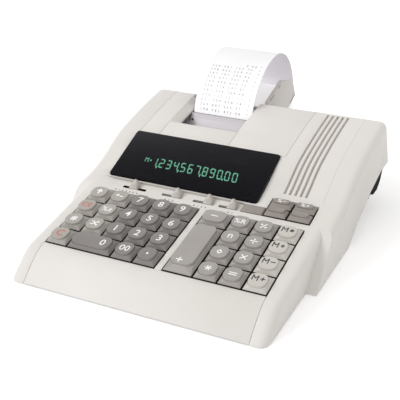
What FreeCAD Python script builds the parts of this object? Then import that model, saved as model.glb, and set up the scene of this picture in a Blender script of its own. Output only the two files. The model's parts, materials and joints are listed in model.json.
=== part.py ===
import FreeCAD, Part
import math
import os

V = FreeCAD.Vector

# All sizes are in millimetres. X runs to the right, Y to the rear, Z up.
# Heights are taken from the table, and depths from the front edge of the case
# until the last section moves everything to the origin.

# Keyboard layout
key_pitch = 19.0
row_pitch = 19.5
key_rows = 4
left_columns = 5
right_columns = 3
plus_key_width = 24.3
block_gap = 5.9
key_gap = 0.9
key_travel = 3.0
keyboard_slope = 10.74
keyboard_front_y = 30.8
keyboard_front_z = 21.5
block_clearance = 0.4

# Key caps
skirt_below = 3.2
skirt_rise = 2.9
cap_height = 5.3
cap_side_inset = 2.5
cap_front_inset = 3.4
cap_rear_inset = 0.9
cap_corner = 5.2
cap_facets = 3
cap_shoulder = 0.6
stem_size = 5.0
stem_clearance = 0.25
stem_length = 8.4

# Upper keys behind the main blocks
upper_row_start = 85.3
upper_key_depth = 11.6
upper_key_width = 19.2
upper_key_reach = 1.0
flat_key_width = 19.2
flat_key_depth = 10.2
flat_key_height = 1.0
flat_key_chamfer = 0.8
upper_cap_height = 4.2

# Slide switches in the strip between keys and display
switch_places = (-61.7, -22.3, 6.1, 26.9)
switch_low_ends = (-7.0, -10.0, -10.0, -8.0)
switch_high_ends = (7.0, 0.0, 0.0, 0.0)
switch_width = 7.6
switch_depth = 9.6
switch_front_run = 2.9
switch_taper_run = 3.9
switch_tip_width = 3.0
switch_tip_height = 5.0
switch_front_height = 0.6
switch_front_gap = 0.6
switch_floor_gap = 0.15
switch_stem_width = 6.8
switch_stem_depth = 2.4
switch_stem_start = 2.2
switch_stem_length = 5.3
slot_clearance = 0.3
strip_start = 85.0
strip_length = 11.6
strip_depth = 2.0
strip_left_margin = 3.0
strip_end_slope = 9.0

# Case
wall = 3.0
side_margin = 12.9
wing_step = 8.0
side_roll = 6.5
inner_chamfer_share = 0.58
rear_roll = 9.0
case_foot_gap = 0.8
flat_length = 92.0
rear_slope = 62.9
rear_bottom_z = 33.0
wing_foot_y = 78.0
wing_lean_run = 43.0
wing_lean_rise = 44.0
wing_belly_y = 160.0
belly_steps = ((21.0, 11.2), (54.0, 22.2))
belly_length = 99.0
front_steps = ((-13.8, -6.2), (-30.0, -20.3))
rear_steps = ((40.8, 14.9), (63.8, 24.4), (131.0, 38.4))
run_out = 45.0
seam = 0.35
panel_gap = 0.2

# How far cutting shapes reach past the whole case or past one face, and how deep joined shapes overlap
beyond = 400.0
past = 1.0
weld = 0.01

# Display
display_width = 135.5
display_left_reach = 0.3
display_length = 56.4
display_slope = 22.6
display_lip = 0.8
display_lip_z = 41.4
display_thickness = 2.6
display_corner = 2.6
window_gap = 0.15
pad_thickness = 2.5
pad_rim = 3.0
tube_width = 118.0
tube_height = 20.0
tube_thickness = 6.5
tube_tilt = 60.0
tube_along = 33.9
tube_below = 13.5
tube_gap = 0.25
bracket_thickness = 1.5
bracket_margin = 2.5
bracket_front = 9.0
bracket_rear = 18.0

# Grooves beside the printer cover
groove_count = 5
groove_first_x = 60.7
groove_pitch = 4.5
groove_width = 2.2
groove_depth = 2.0
groove_start_y = 144.0
groove_length = 108.0

# Printer cover and its paper channel
cover_right_x = 47.9
cover_length = 74.3
cover_wall = 2.5
cover_front_gap = 0.6
cover_swing_room = 0.45
paper_width = 57.5
paper_centre_x = -34.8
paper_side_room = 1.2
channel_bevel = 6.6
channel_drop = 5.0
channel_floor = 2.0
flap_length = 20.8
flap_seam_depth = 0.5
paper_opening_length = 45.0
ledge_length = 3.5
ledge_overlap = 3.0
ledge_gap = 0.3
ledge_wall = 1.8
slot_room = 3.0
barrel_radius = 3.2
barrel_clearance = 0.35
hinge_pin_radius = 1.4
hinge_pin_length = 3.5
hinge_clearance = 0.1
pin_end_room = 0.5
boss_wall = 3.0
boss_end = 2.0

# Paper
paper_thickness = 0.4
paper_roll_radius = 22.0
roll_setback = 36.8
roll_z = 57.0
arch_steps = ((1.7, 13.4), (15.5, 37.4), (56.5, 56.6), (98.5, 39.4), (111.5, -1.6), (109.5, -32.6))
rise_below_bar = 2.0
paper_leave_angle = 125.0
spindle_radius = 3.0
spindle_clearance = 0.15

# Printer: runs go to the front or the rear of the platen's centre
platen_setback = 63.8
platen_z = 35.5
platen_radius = 9.0
platen_overhang = 1.5
shaft_radius = 2.5
shaft_clearance = 0.06
shaft_end = 2.0
paper_clearance = 0.3
knob_radius = 21.5
knob_width = 10.5
knob_sides = 12
knob_chamfer = 1.2
knob_room = 1.2
knob_side_gap = 0.5
knob_wall = 1.0
knob_slot_front_run = 28.0
knob_slot_rear_run = 11.0
knob_slot_height = 1.6
frame_plate = 2.0
frame_side_room = 8.0
frame_front_run = 40.0
frame_rear_run = 14.0
frame_below_bar = 1.6
frame_top_run = 9.0
frame_rear_low = 19.0
frame_rear_drop = 12.0
frame_foot_inset = 5.0
frame_floor_rise = 7.0
frame_floor_front = 4.0
frame_floor_rear = 8.0
rail_radius = 2.5
rail_run = 25.0
rail_drop = 1.5
head_width = 22.0
head_rise = 14.5
head_below_rail = 2.5
head_front_gap = 1.5
head_rear_gap = 4.5
head_fins = 4
head_fin_pitch = 4.6
head_slot_width = 2.0
head_slot_rise = 3.0
head_slot_end = 2.5
nose_width = 8.0
nose_height = 8.0
nose_drop = 1.0
nose_gap = 0.5
cassette_gap = 0.25
cassette_front_gap = 1.0
cassette_run = 33.0
cassette_rise = 2.5
cassette_height = 15.0
cassette_arm = 3.0
ribbon_run = 13.0
ribbon_thickness = 0.4
ribbon_height = 13.0
ribbon_inset = 1.0
bearing_clearance = 0.06
tear_bar_thickness = 1.6
tear_bar_height = 11.6
tear_bar_lean = 31.0
tear_bar_run = 17.0
tear_bar_drop = 15.0
tear_bar_shoulder = 1.0
tear_bar_gap = 0.2
tear_bar_channel_gap = 0.4
tear_tooth_pitch = 2.3
tear_tooth_height = 0.9
tear_foot = 3.0

# Roll holder
arm_thickness = 4.0
arm_gap = 1.6
arm_web = 1.5
arm_front_rise = 14.0
arm_steps = ((-42.6, 19.3), (-7.0, 30.5), (22.0, 23.0), (32.0, 5.0), (16.0, -2.0))
arm_under_spindle = 4.5
arm_root = 12.0
holder_bar_height = 12.0
holder_bar_depth = 6.0
holder_bar_z = 38.0
holder_gap = 0.25
tab_width = 9.0
tab_height = 3.0
tab_length = 5.5
tab_root = 2.0

# Base, feet and transformer
base_floor = 2.0
base_height = 3.0
base_side_gap = 0.4
base_bottom_half = 84.0
tub_wall = 2.5
tub_side_gap = 2.0
tub_rear_run = 31.2
tub_rear_gap = 6.9
tub_front_overlap = 20.0
base_top_gap = 0.3
tray_front_gap = 2.0
tray_wing_gap = 6.0
tray_overlap = 4.0
foot_radius = 7.5
foot_sides = 16
front_foot_x = 86.0
front_foot_y = 24.0
rear_foot_x = 70.0
rear_foot_inset = 14.0
core_width = 40.0
core_depth = 34.0
core_height = 34.0
coil_depth = 46.0
coil_width = 20.0
coil_height = 22.6
transformer_side_inset = 54.0
transformer_rear_inset = 44.0

# Key board
board_thickness = 1.6
guide_room = 1.3
guide_thickness = 1.5
board_room = 0.4
post_size = 2.6
board_margin = 2.0
board_front_inset = 0.5

# Values that follow from the sizes above
field_width = (left_columns + right_columns) * key_pitch + block_gap + plus_key_width
field_half = field_width / 2
front_half = field_half + side_margin
wing_half = front_half + wing_step
cos_slope = math.cos(math.radians(keyboard_slope))
sin_slope = math.sin(math.radians(keyboard_slope))
left_x = -field_half
right_x = left_x + left_columns * key_pitch + block_gap
right_keys_x = right_x + plus_key_width
field_depth = key_rows * row_pitch
upper_x = field_half - 2 * upper_key_width + upper_key_reach
flat_key_x = upper_x - flat_key_width
paper_left = paper_centre_x - paper_width / 2
paper_right = paper_centre_x + paper_width / 2


def box(x0, x1, y0, y1, z0, z1):
    return Part.makeBox(x1 - x0, y1 - y0, z1 - z0, V(x0, y0, z0))


def slab(x0, x1, points):
    """A prism along X with a straight-sided outline of (y, z) points."""
    corners = [V(x0, y, z) for y, z in points]
    face = Part.Face(Part.makePolygon(corners + corners[:1]))
    return face.extrude(V(x1 - x0, 0, 0))


def rod(x0, x1, y, z, radius):
    return Part.makeCylinder(radius, x1 - x0, V(x0, y, z), V(1, 0, 0))


def join(shapes):
    return shapes[0].multiFuse(shapes[1:]).removeSplitter()


def on_slope(shape):
    """Moves a shape drawn flat, with Y along the slope, onto the keyboard plane."""
    moved = shape.copy()
    moved.rotate(V(0, 0, 0), V(1, 0, 0), keyboard_slope)
    moved.translate(V(0, keyboard_front_y, keyboard_front_z))
    return moved


def slope_point(along, up=0.0):
    y = keyboard_front_y + along * cos_slope - up * sin_slope
    z = keyboard_front_z + along * sin_slope + up * cos_slope
    return y, z


# Outlines seen from the side are chains of tangent arcs. A station is a point with its direction in degrees.

def place(point, angle, distance):
    turned = math.radians(angle)
    return (point[0] + distance * math.cos(turned), point[1] + distance * math.sin(turned))


def arc_chain(start, angle, points):
    """Tangent arcs from a start through the points: stations at each arc's start, middle and end."""
    arcs = []
    for end in points:
        chord = math.hypot(end[0] - start[0], end[1] - start[1])
        chord_angle = math.degrees(math.atan2(end[1] - start[1], end[0] - start[0]))
        half_turn = (chord_angle - angle + 180.0) % 360.0 - 180.0
        reach = chord / 2 / math.cos(math.radians(half_turn / 2))
        middle = place(start, angle + half_turn / 2, reach)
        arcs.append(((start, angle), (middle, angle + half_turn), (end, angle + 2 * half_turn)))
        start = end
        angle = angle + 2 * half_turn
    return arcs


def backwards(arcs):
    return [tuple((point, angle + 180.0) for point, angle in reversed(arc)) for arc in reversed(arcs)]


def to_the_right(station, depth):
    """The station's point, moved square to its direction."""
    point, angle = station
    return place(point, angle - 90.0, depth)


def chain_edges(arcs, depth):
    edges = []
    for arc in arcs:
        first, middle, last = [V(0, *to_the_right(station, depth)) for station in arc]
        edges.append(Part.Arc(first, middle, last).toShape())
    return edges


def straight(start, end, depth):
    """A straight edge between two stations of one direction."""
    return Part.makeLine(V(0, *to_the_right(start, depth)), V(0, *to_the_right(end, depth)))


# Case profile, seen from the side

flat_end = slope_point(flat_length)
flat_end_y, flat_end_z = flat_end
flat_start = (keyboard_front_y, keyboard_front_z)
front_arcs = backwards(arc_chain(flat_start, keyboard_slope + 180.0,
                                 [(keyboard_front_y + y, keyboard_front_z + z) for y, z in front_steps]))
rear_arcs = arc_chain(flat_end, keyboard_slope, [(flat_end_y + y, flat_end_z + z) for y, z in rear_steps])


def rear_roll_arc():
    """The round top rear edge, which turns down into the leaning rear face."""
    start, angle = rear_arcs[-1][2]
    centre = place(start, angle - 90.0, rear_roll)
    stations = [(start, angle)]
    for turned in ((angle - rear_slope) / 2, -rear_slope):
        stations.append((place(centre, turned + 90.0, rear_roll), turned))
    return tuple(stations)


rear_roll_stations = rear_roll_arc()
front_foot = (place(front_arcs[0][0][0], front_arcs[0][0][1], -run_out), front_arcs[0][0][1])
rear_foot = (place(rear_roll_stations[2][0], -rear_slope, 2 * run_out), -rear_slope)


def top_edges(depth):
    """Edges of the case's profile from below the front edge over the top to below the rear edge."""
    edges = [straight(front_foot, front_arcs[0][0], depth)]
    edges += chain_edges(front_arcs, depth)
    edges.append(straight(front_arcs[-1][2], rear_arcs[0][0], depth))
    edges += chain_edges(rear_arcs, depth)
    edges += chain_edges([rear_roll_stations], depth)
    edges.append(straight(rear_roll_stations[2], rear_foot, depth))
    return edges


def chain_face(edges):
    """A face in the YZ plane closed under the given chain of edges."""
    first = edges[0].Vertexes[0].Point
    last = edges[-1].Vertexes[-1].Point
    low = min(first.z, last.z) - past
    bottom = Part.makePolygon([last, V(0, last.y, low), V(0, first.y, low), first]).Edges
    return Part.Face(Part.Wire(Part.__sortEdges__(edges + bottom)))


def prism(face, x0, x1):
    placed = face.copy()
    placed.translate(V(x0, 0, 0))
    return placed.extrude(V(x1 - x0, 0, 0))


def case_form(depth):
    """The case's outer form at a depth under its skin, with its long side edges rolled over."""
    half = wing_half - depth
    front = front_half - depth
    edges = top_edges(depth)
    body = prism(chain_face(edges), -half, half)
    run = wing_lean_run / wing_lean_rise
    low = wing_foot_y + depth - beyond * run
    high = wing_foot_y + depth + beyond * run
    notch = [(-beyond, -beyond), (low, -beyond), (high, beyond), (-beyond, beyond)]
    body = body.cut(slab(front, half + past, notch))
    body = body.cut(slab(-half - past, -front, notch))
    chain = Part.Compound(edges)
    rolled = []
    for edge in body.Edges:
        middle = edge.valueAt((edge.FirstParameter + edge.LastParameter) / 2)
        along_side = edge.BoundBox.XLength < 0.001 and abs(middle.x) > front - 0.01
        if along_side and Part.Vertex(0, middle.y, middle.z).distToShape(chain)[0] < 0.01:
            rolled.append(edge)
    if depth:
        return body.makeChamfer((side_roll - depth) * inner_chamfer_share, rolled)
    return body.makeFillet(side_roll, rolled)


def skin_band(y0, y1, top, bottom, x0, x1):
    """A strip of the case's skin between two depths, cut square at its ends."""
    upper = prism(chain_face(top_edges(top)), x0, x1)
    lower = prism(chain_face(top_edges(bottom)), x0 - past, x1 + past)
    return upper.cut(lower).common(box(x0, x1, y0, y1, 0.0, beyond))


def skin_z(y, depth=0.0):
    """Height of the case's top at a place along its depth."""
    line = Part.makeLine(V(0, y, 0.0), V(0, y, beyond))
    return max(v.Z for v in line.common(chain_face(top_edges(depth))).Vertexes)


# Wings of the case run clear of the table to the rear, along this line
belly = [(wing_belly_y, case_foot_gap)]
belly += [(wing_belly_y + y, case_foot_gap + z) for y, z in belly_steps]
belly.append((wing_belly_y + belly_length, rear_bottom_z))


def belly_cutter(x0, x1, lift):
    """All that lies under the case's lower edge."""
    line = [(y, z + lift) for y, z in belly]
    ends = [(beyond, rear_bottom_z + lift), (beyond, -beyond), (-beyond, -beyond)]
    return slab(x0, x1, [(-beyond, case_foot_gap + lift)] + line + ends)


# Key layout: name, column start, row start, width, depth
def left_column(number):
    return left_x + number * key_pitch


def right_column(number):
    return right_keys_x + number * key_pitch


def row(number):
    return number * row_pitch


main_keys = []
left_rows = (
    ("key_clear", None, None, "key_double_zero", "key_point"),
    ("key_number", "key_exchange", "key_1", "key_2", "key_3"),
    ("key_clear_entry", "key_markup", "key_4", "key_5", "key_6"),
    ("key_feed", "key_sign", "key_7", "key_8", "key_9"),
)
for row_number, names in enumerate(left_rows):
    for column_number, name in enumerate(names):
        if name:
            main_keys.append((name, left_column(column_number), row(row_number), key_pitch, row_pitch))
main_keys.append(("key_0", left_column(1), row(0), 2 * key_pitch, row_pitch))
right_rows = (
    ("key_total", "key_equals", "key_memory_plus"),
    ("key_subtotal", "key_times", "key_memory_minus"),
    ("key_count", "key_divide", "key_memory_subtotal"),
    ("key_rate", "key_percent", "key_memory_total"),
)
for row_number, names in enumerate(right_rows):
    for column_number, name in enumerate(names):
        main_keys.append((name, right_column(column_number), row(row_number), key_pitch, row_pitch))
main_keys.append(("key_plus", right_x, row(0), plus_key_width, 3 * row_pitch))
main_keys.append(("key_minus", right_x, row(3), plus_key_width, row_pitch))
upper_keys = []
for column_number, names in enumerate((("key_cost", "key_tax_minus"), ("key_sell", "key_tax_plus"))):
    for row_number, name in enumerate(names):
        key_x = upper_x + column_number * upper_key_width
        key_s = upper_row_start + row_number * upper_key_depth
        upper_keys.append((name, key_x, key_s, upper_key_width, upper_key_depth))
flat_key = ("key_shift", flat_key_x, upper_row_start, flat_key_width, flat_key_depth)


def rectangle(x0, x1, s0, s1, w):
    return [V(x0, s0, w), V(x1, s0, w), V(x1, s1, w), V(x0, s1, w)]


def frustum(low, high):
    """A solid with flat faces between two four-cornered outlines."""
    faces = [Part.Face(Part.makePolygon(low + low[:1])), Part.Face(Part.makePolygon(high + high[:1]))]
    for number in range(4):
        following = (number + 1) % 4
        side = [low[number], low[following], high[following], high[number]]
        faces.append(Part.Face(Part.makePolygon(side + side[:1])))
    return Part.Solid(Part.Shell(faces))


def cap_outline(x0, x1, s0, s1, w, radius):
    """A cap's plan: square at the rear, with each front corner rounded in a few flat facets."""
    points = [V(x1, s1, w), V(x0, s1, w)]
    for centre_x, start in ((x0 + radius, 180.0), (x1 - radius, 270.0)):
        for number in range(cap_facets + 1):
            angle = math.radians(start + 90.0 * number / cap_facets)
            points.append(V(centre_x + radius * math.cos(angle), s0 + radius + radius * math.sin(angle), w))
    return Part.Face(Part.makePolygon(points + points[:1]))


def stem(x, s):
    half = stem_size / 2
    return box(x - half, x + half, s - half, s + half, -skirt_below - stem_length, -skirt_below)


def key_cap(x, s, width, depth, height, places):
    """A key: skirt, sloped flanks, raised cap with a round front, and a stem under each place."""
    x0 = x + key_gap / 2
    x1 = x + width - key_gap / 2
    s0 = s + key_gap / 2
    s1 = s + depth - key_gap / 2
    c0 = x0 + cap_side_inset
    c1 = x1 - cap_side_inset
    f0 = s0 + cap_front_inset
    f1 = s1 - cap_rear_inset
    skirt_top = skirt_rise * height / cap_height
    edge = rectangle(x0, x1, s0, s1, 0.0)
    shoulder = rectangle(c0 - cap_shoulder, c1 + cap_shoulder, f0 - cap_shoulder, f1 + cap_shoulder / 2,
                         skirt_top)
    corner = min(cap_corner, (f1 - f0) * 0.45)
    outline = cap_outline(c0, c1, f0, f1, skirt_top, corner)
    pieces = [box(x0, x1, s0, s1, -skirt_below, 0.0), frustum(edge, shoulder),
              outline.extrude(V(0, 0, height - skirt_top))]
    return join(pieces + [stem(*place) for place in places])


def stem_places(x, s, width, depth):
    """One stem in the middle, or two under a long key."""
    middle_x = x + width / 2
    middle_s = s + depth / 2
    if width > 1.5 * key_pitch:
        return [(middle_x - key_pitch / 2, middle_s), (middle_x + key_pitch / 2, middle_s)]
    if depth > 1.5 * row_pitch:
        return [(middle_x, middle_s - row_pitch), (middle_x, middle_s + row_pitch)]
    return [(middle_x, middle_s)]


nodes = {}
for name, x, s, width, depth in main_keys:
    nodes[name] = on_slope(key_cap(x, s, width, depth, cap_height, stem_places(x, s, width, depth)))
for name, x, s, width, depth in upper_keys:
    nodes[name] = on_slope(key_cap(x, s, width, depth, upper_cap_height, stem_places(x, s, width, depth)))


def flat_key_solid():
    """The low grey key that lies level with the strip."""
    name, x, s, width, depth = flat_key
    x0 = x + key_gap / 2
    x1 = x + width - key_gap / 2
    s0 = s + key_gap / 2
    s1 = s + depth - key_gap / 2
    rim = flat_key_height - flat_key_chamfer
    top = rectangle(x0 + flat_key_chamfer, x1 - flat_key_chamfer, s0 + flat_key_chamfer,
                    s1 - flat_key_chamfer, flat_key_height)
    pieces = [box(x0, x1, s0, s1, -skirt_below, rim), frustum(rectangle(x0, x1, s0, s1, rim), top)]
    return join(pieces + [stem(*place) for place in stem_places(x, s, width, depth)])


nodes[flat_key[0]] = on_slope(flat_key_solid())


# Slide switch knobs: a low wide front that rises to a narrow tip over the display's edge

def switch_knob(centre):
    half = switch_width / 2
    tip = switch_tip_width / 2
    s0 = strip_start + switch_front_gap
    s_front = s0 + switch_front_run
    s_tip = s_front + switch_taper_run
    s1 = s0 + switch_depth
    floor = -strip_depth + switch_floor_gap
    corners = [V(centre - half, s0, floor), V(centre + half, s0, floor), V(centre + half, s_front, floor),
               V(centre + tip, s_tip, floor), V(centre + tip, s1, floor), V(centre - tip, s1, floor),
               V(centre - tip, s_tip, floor), V(centre - half, s_front, floor)]
    body = Part.Face(Part.makePolygon(corners + corners[:1])).extrude(V(0, 0, switch_tip_height - floor))
    rise = slab(centre - switch_width, centre + switch_width,
                [(s0, switch_front_height), (s1, switch_tip_height), (s0, switch_tip_height)])
    stem = box(centre - switch_stem_width / 2, centre + switch_stem_width / 2, s0 + switch_stem_start,
               s0 + switch_stem_start + switch_stem_depth, floor - switch_stem_length, 0.0)
    return join([body.cut(rise), stem])


for number, centre in enumerate(switch_places):
    nodes["switch_knob_%d" % (number + 1)] = on_slope(switch_knob(centre))


# Display window: a smoked plate that stands a little proud of the case between the strip and the cover

lip_y = slope_point(strip_start + strip_length)[0] + display_lip
window_cos = math.cos(math.radians(display_slope))
window_sin = math.sin(math.radians(display_slope))
window_left = left_x - display_left_reach
window_right = window_left + display_width


def on_window(shape):
    """Moves a shape drawn flat onto the window's plane, from the middle of its front edge."""
    moved = shape.copy()
    moved.rotate(V(0, 0, 0), V(1, 0, 0), display_slope)
    moved.translate(V(0, lip_y, display_lip_z))
    return moved


def window_point(along, up=0.0):
    y = lip_y + along * window_cos - up * window_sin
    z = display_lip_z + along * window_sin + up * window_cos
    return y, z


def window_plate(gap, low, high):
    """The window's outline, grown by a gap, between two heights over its plane."""
    plate = box(window_left - gap, window_right + gap, -gap, display_length + gap, low, high)
    corners = [edge for edge in plate.Edges if edge.BoundBox.ZLength > (high - low) / 2]
    return plate.makeFillet(display_corner + gap, corners)


nodes["display_window"] = on_window(window_plate(0.0, -display_thickness, 0.0))

# Display tube: a flat glass tube that leans back under the window

tube_middle = (window_left + window_right) / 2
tube_left = tube_middle - tube_width / 2
tube_right = tube_middle + tube_width / 2
tube_centre = window_point(tube_along, -tube_below)


def tube_point(along, up):
    """A place beside the tube, seen from the middle of its face."""
    return place(place(tube_centre, tube_tilt, along), tube_tilt + 90.0, up)


tube_half = tube_height / 2
tube_outline = [tube_point(-tube_half, 0.0), tube_point(tube_half, 0.0),
                tube_point(tube_half, -tube_thickness), tube_point(-tube_half, -tube_thickness)]
nodes["display_tube"] = slab(tube_left, tube_right, tube_outline)

# Where the printer cover lies

cover_left = -(field_half - 0.8)
window_rear_y, window_rear_z = window_point(display_length, -display_thickness)
cover_front_y = window_rear_y + cover_front_gap
barrel_y = cover_front_y + cover_length
barrel_z = skin_z(barrel_y) - barrel_radius - 0.1
channel_left = paper_left - paper_side_room
channel_right = paper_right + paper_side_room
opening_y0 = cover_front_y + flap_length
opening_y1 = opening_y0 + paper_opening_length
platen_y = cover_front_y + platen_setback


def channel_form(top, y0, y1):
    """All that is cut away for the paper's channel: square at the right, with a slope at the left."""
    points = [V(channel_left - channel_bevel, y0, beyond), V(channel_left - channel_bevel, y0, top),
              V(channel_left, y0, top - channel_drop), V(channel_right, y0, top - channel_drop),
              V(channel_right, y0, beyond)]
    return Part.Face(Part.makePolygon(points + points[:1])).extrude(V(0, y1 - y0, 0))


def rear_face_y(z):
    """Depth of the case's leaning rear face at a height."""
    start = rear_roll_stations[2][0]
    return start[0] + (start[1] - z) / math.tan(math.radians(rear_slope))


def belly_z(y):
    """Height of the wing's lower edge."""
    for (y0, z0), (y1, z1) in zip(belly, belly[1:]):
        if y0 <= y <= y1:
            return z0 + (z1 - z0) * (y - y0) / (y1 - y0)
    return rear_bottom_z


# Paper comes off the roll at a point, and runs straight from there through the case's rear face
roll_y = rear_face_y(roll_z) + roll_setback
leave_radius = paper_roll_radius + paper_clearance + paper_thickness / 2
leave = place((roll_y, roll_z), paper_leave_angle, leave_radius)
entry_angle = paper_leave_angle - 90.0
entry_slope = math.tan(math.radians(entry_angle))
rear_fall = math.tan(math.radians(rear_slope))
slot_y = (rear_face_y(leave[1]) + leave[0] * entry_slope / rear_fall) / (1.0 + entry_slope / rear_fall)
slot_y0 = slot_y - 3 * wall
slot_y1 = slot_y + 3 * wall
slot_low = leave[1] + entry_slope * (slot_y0 - leave[0])
slot_high = leave[1] + entry_slope * (slot_y1 - leave[0])

tab_z = holder_bar_z + holder_bar_height / 2
tab_places = (paper_left + tab_width, paper_right - tab_width)

# Top case: a shell with openings for keys, switches, window and printer

outer = case_form(0.0)
inner = case_form(wall)
case = outer.cut(inner)
case = case.cut(belly_cutter(-wing_half - 5, wing_half + 5, 0.0))

strip_end = -field_half - strip_left_margin
strip_right = flat_key_x
under_strip = on_slope(box(seam - front_half, upper_x - block_clearance, strip_start - wall,
                           strip_start + strip_length + 2 * wall, -strip_depth - wall, -wall / 2))
case = case.fuse(under_strip.common(outer))
pad_low = -display_thickness - pad_thickness
pad_end = display_length + window_gap
pad = slab(window_left - window_gap, window_right + window_gap,
           [window_point(-window_gap, -display_thickness), window_point(pad_end, -display_thickness),
            window_point(pad_end, pad_low), window_point(-window_gap, pad_low)])
case = case.fuse(pad)
bracket_reach = tube_half + bracket_margin
bracket_outline = [window_point(tube_along - bracket_front, pad_low + pad_thickness / 2),
                   window_point(tube_along + bracket_rear, pad_low + pad_thickness / 2),
                   tube_point(bracket_reach, -tube_thickness - bracket_margin),
                   tube_point(-bracket_reach, -tube_thickness - bracket_margin),
                   tube_point(-bracket_reach, bracket_margin)]
for bracket_x in (tube_left - tube_gap - bracket_thickness, tube_right + tube_gap):
    case = case.fuse(slab(bracket_x, bracket_x + bracket_thickness, bracket_outline))
boss_radius = hinge_pin_radius + boss_wall
boss_length = hinge_pin_length + boss_end
for boss_x in (cover_left - seam - boss_length, cover_right_x + seam):
    boss = rod(boss_x, boss_x + boss_length, barrel_y, barrel_z, boss_radius)
    web = box(boss_x, boss_x + boss_length, barrel_y - boss_radius, barrel_y + boss_radius, barrel_z,
              barrel_z + 2 * boss_radius)
    case = case.fuse(boss.fuse(web).common(outer))

cuts = []
top = beyond
deep = -skirt_below - wall
cuts.append(on_slope(box(left_x - block_clearance, left_x + left_columns * key_pitch + block_clearance,
                         -block_clearance, field_depth + block_clearance, deep, top)))
cuts.append(on_slope(box(right_x - block_clearance, field_half + block_clearance, -block_clearance,
                         field_depth + block_clearance, deep, top)))
cuts.append(on_slope(box(upper_x - block_clearance, upper_x + 2 * upper_key_width + block_clearance,
                         upper_row_start - block_clearance,
                         upper_row_start + 2 * upper_key_depth + block_clearance, 2 * deep, top)))
cuts.append(on_slope(box(flat_key_x - block_clearance, upper_x + past, upper_row_start - block_clearance,
                         upper_row_start + flat_key_depth + block_clearance, 2 * deep, top)))
strip_form = [V(strip_end, strip_start, top), V(strip_end, strip_start, 0.0),
              V(strip_end + strip_end_slope, strip_start, -strip_depth),
              V(strip_right, strip_start, -strip_depth), V(strip_right, strip_start, top)]
strip = Part.Face(Part.makePolygon(strip_form + strip_form[:1])).extrude(V(0, strip_length, 0))
cuts.append(on_slope(strip))
for centre, low, high in zip(switch_places, switch_low_ends, switch_high_ends):
    half = switch_stem_width / 2 + slot_clearance
    s0 = strip_start + switch_front_gap + switch_stem_start
    cuts.append(on_slope(box(centre + low - half, centre + high + half, s0 - slot_clearance,
                             s0 + switch_stem_depth + slot_clearance, 2 * deep, 0.0)))
cuts.append(on_window(window_plate(window_gap, -display_thickness, beyond)))
cuts.append(on_window(box(tube_left - tube_gap, tube_right + tube_gap, pad_rim, display_length - pad_rim,
                          pad_low - wall, 0.0)))
cuts.append(box(window_left - window_gap, window_right + window_gap, window_point(display_length)[0],
                cover_front_y, window_rear_z, beyond))
bay_left = cover_left - seam
bay_right = cover_right_x + seam
bay_radius = barrel_radius + barrel_clearance
cuts.append(box(bay_left, bay_right, cover_front_y - cover_swing_room, barrel_y, 0.0, beyond))
cuts.append(box(bay_left, bay_right, barrel_y - seam, barrel_y + bay_radius, barrel_z, beyond))
cuts.append(rod(bay_left, bay_right, barrel_y, barrel_z, bay_radius))
for socket_x in (bay_left - hinge_pin_length - pin_end_room, bay_right - pin_end_room):
    cuts.append(rod(socket_x, socket_x + hinge_pin_length + 2 * pin_end_room, barrel_y, barrel_z,
                    hinge_pin_radius + hinge_clearance))
rim_top = skin_z(barrel_y)
cuts.append(channel_form(rim_top, barrel_y - barrel_radius - past, beyond))
cuts.append(slab(channel_left, channel_right,
                 [(slot_y0, slot_low - slot_room), (slot_y1, slot_high - slot_room),
                  (slot_y1, slot_high + slot_room), (slot_y0, slot_low + slot_room)]))
for tab_x in tab_places:
    cuts.append(box(tab_x - tab_width / 2 - holder_gap, tab_x + tab_width / 2 + holder_gap,
                    rear_face_y(tab_z) - 2 * wall, rear_face_y(tab_z) + 2 * wall, tab_z - holder_gap,
                    tab_z + tab_height + holder_gap))
knob_slot_y0 = platen_y - knob_slot_front_run
knob_slot_y1 = platen_y + knob_slot_rear_run
cuts.append(slab(wing_half - 2 * wall, wing_half + wall,
                 [(knob_slot_y0, belly_z(knob_slot_y0) - wall),
                  (knob_slot_y0, belly_z(knob_slot_y0) + knob_slot_height),
                  (knob_slot_y1, belly_z(knob_slot_y1) + knob_slot_height),
                  (knob_slot_y1, belly_z(knob_slot_y1) - wall)]))
cuts.append(rod(wing_half - 2 * wall, wing_half - knob_wall, platen_y, platen_z, knob_radius + knob_room))
for number in range(groove_count):
    x = groove_first_x + number * groove_pitch
    cuts.append(skin_band(groove_start_y, groove_start_y + groove_length, -past, groove_depth,
                          x - groove_width / 2, x + groove_width / 2))
panel_rear = slope_point(-block_clearance)[0]
cuts.append(skin_band(-beyond, panel_rear + panel_gap, -past, wall + panel_gap, -field_half - seam,
                      field_half + seam))
for cut in cuts:
    case = case.cut(cut)
ledge_top = cover_wall + ledge_gap
ledge = skin_band(cover_front_y - ledge_overlap, cover_front_y + ledge_length, ledge_top,
                  ledge_top + ledge_wall, cover_left + ledge_wall, cover_right_x - ledge_wall)
case = case.fuse(ledge)
nodes["top_case"] = case
print("case", case.isValid(), len(case.Solids), len(case.Faces))

panel = skin_band(-beyond, panel_rear, 0.0, wall - panel_gap, -field_half, field_half)
nodes["front_panel"] = panel.cut(belly_cutter(-wing_half, wing_half, 0.0))

# Printer cover: the same skin as the case, with a sunken channel behind its front flap

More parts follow.
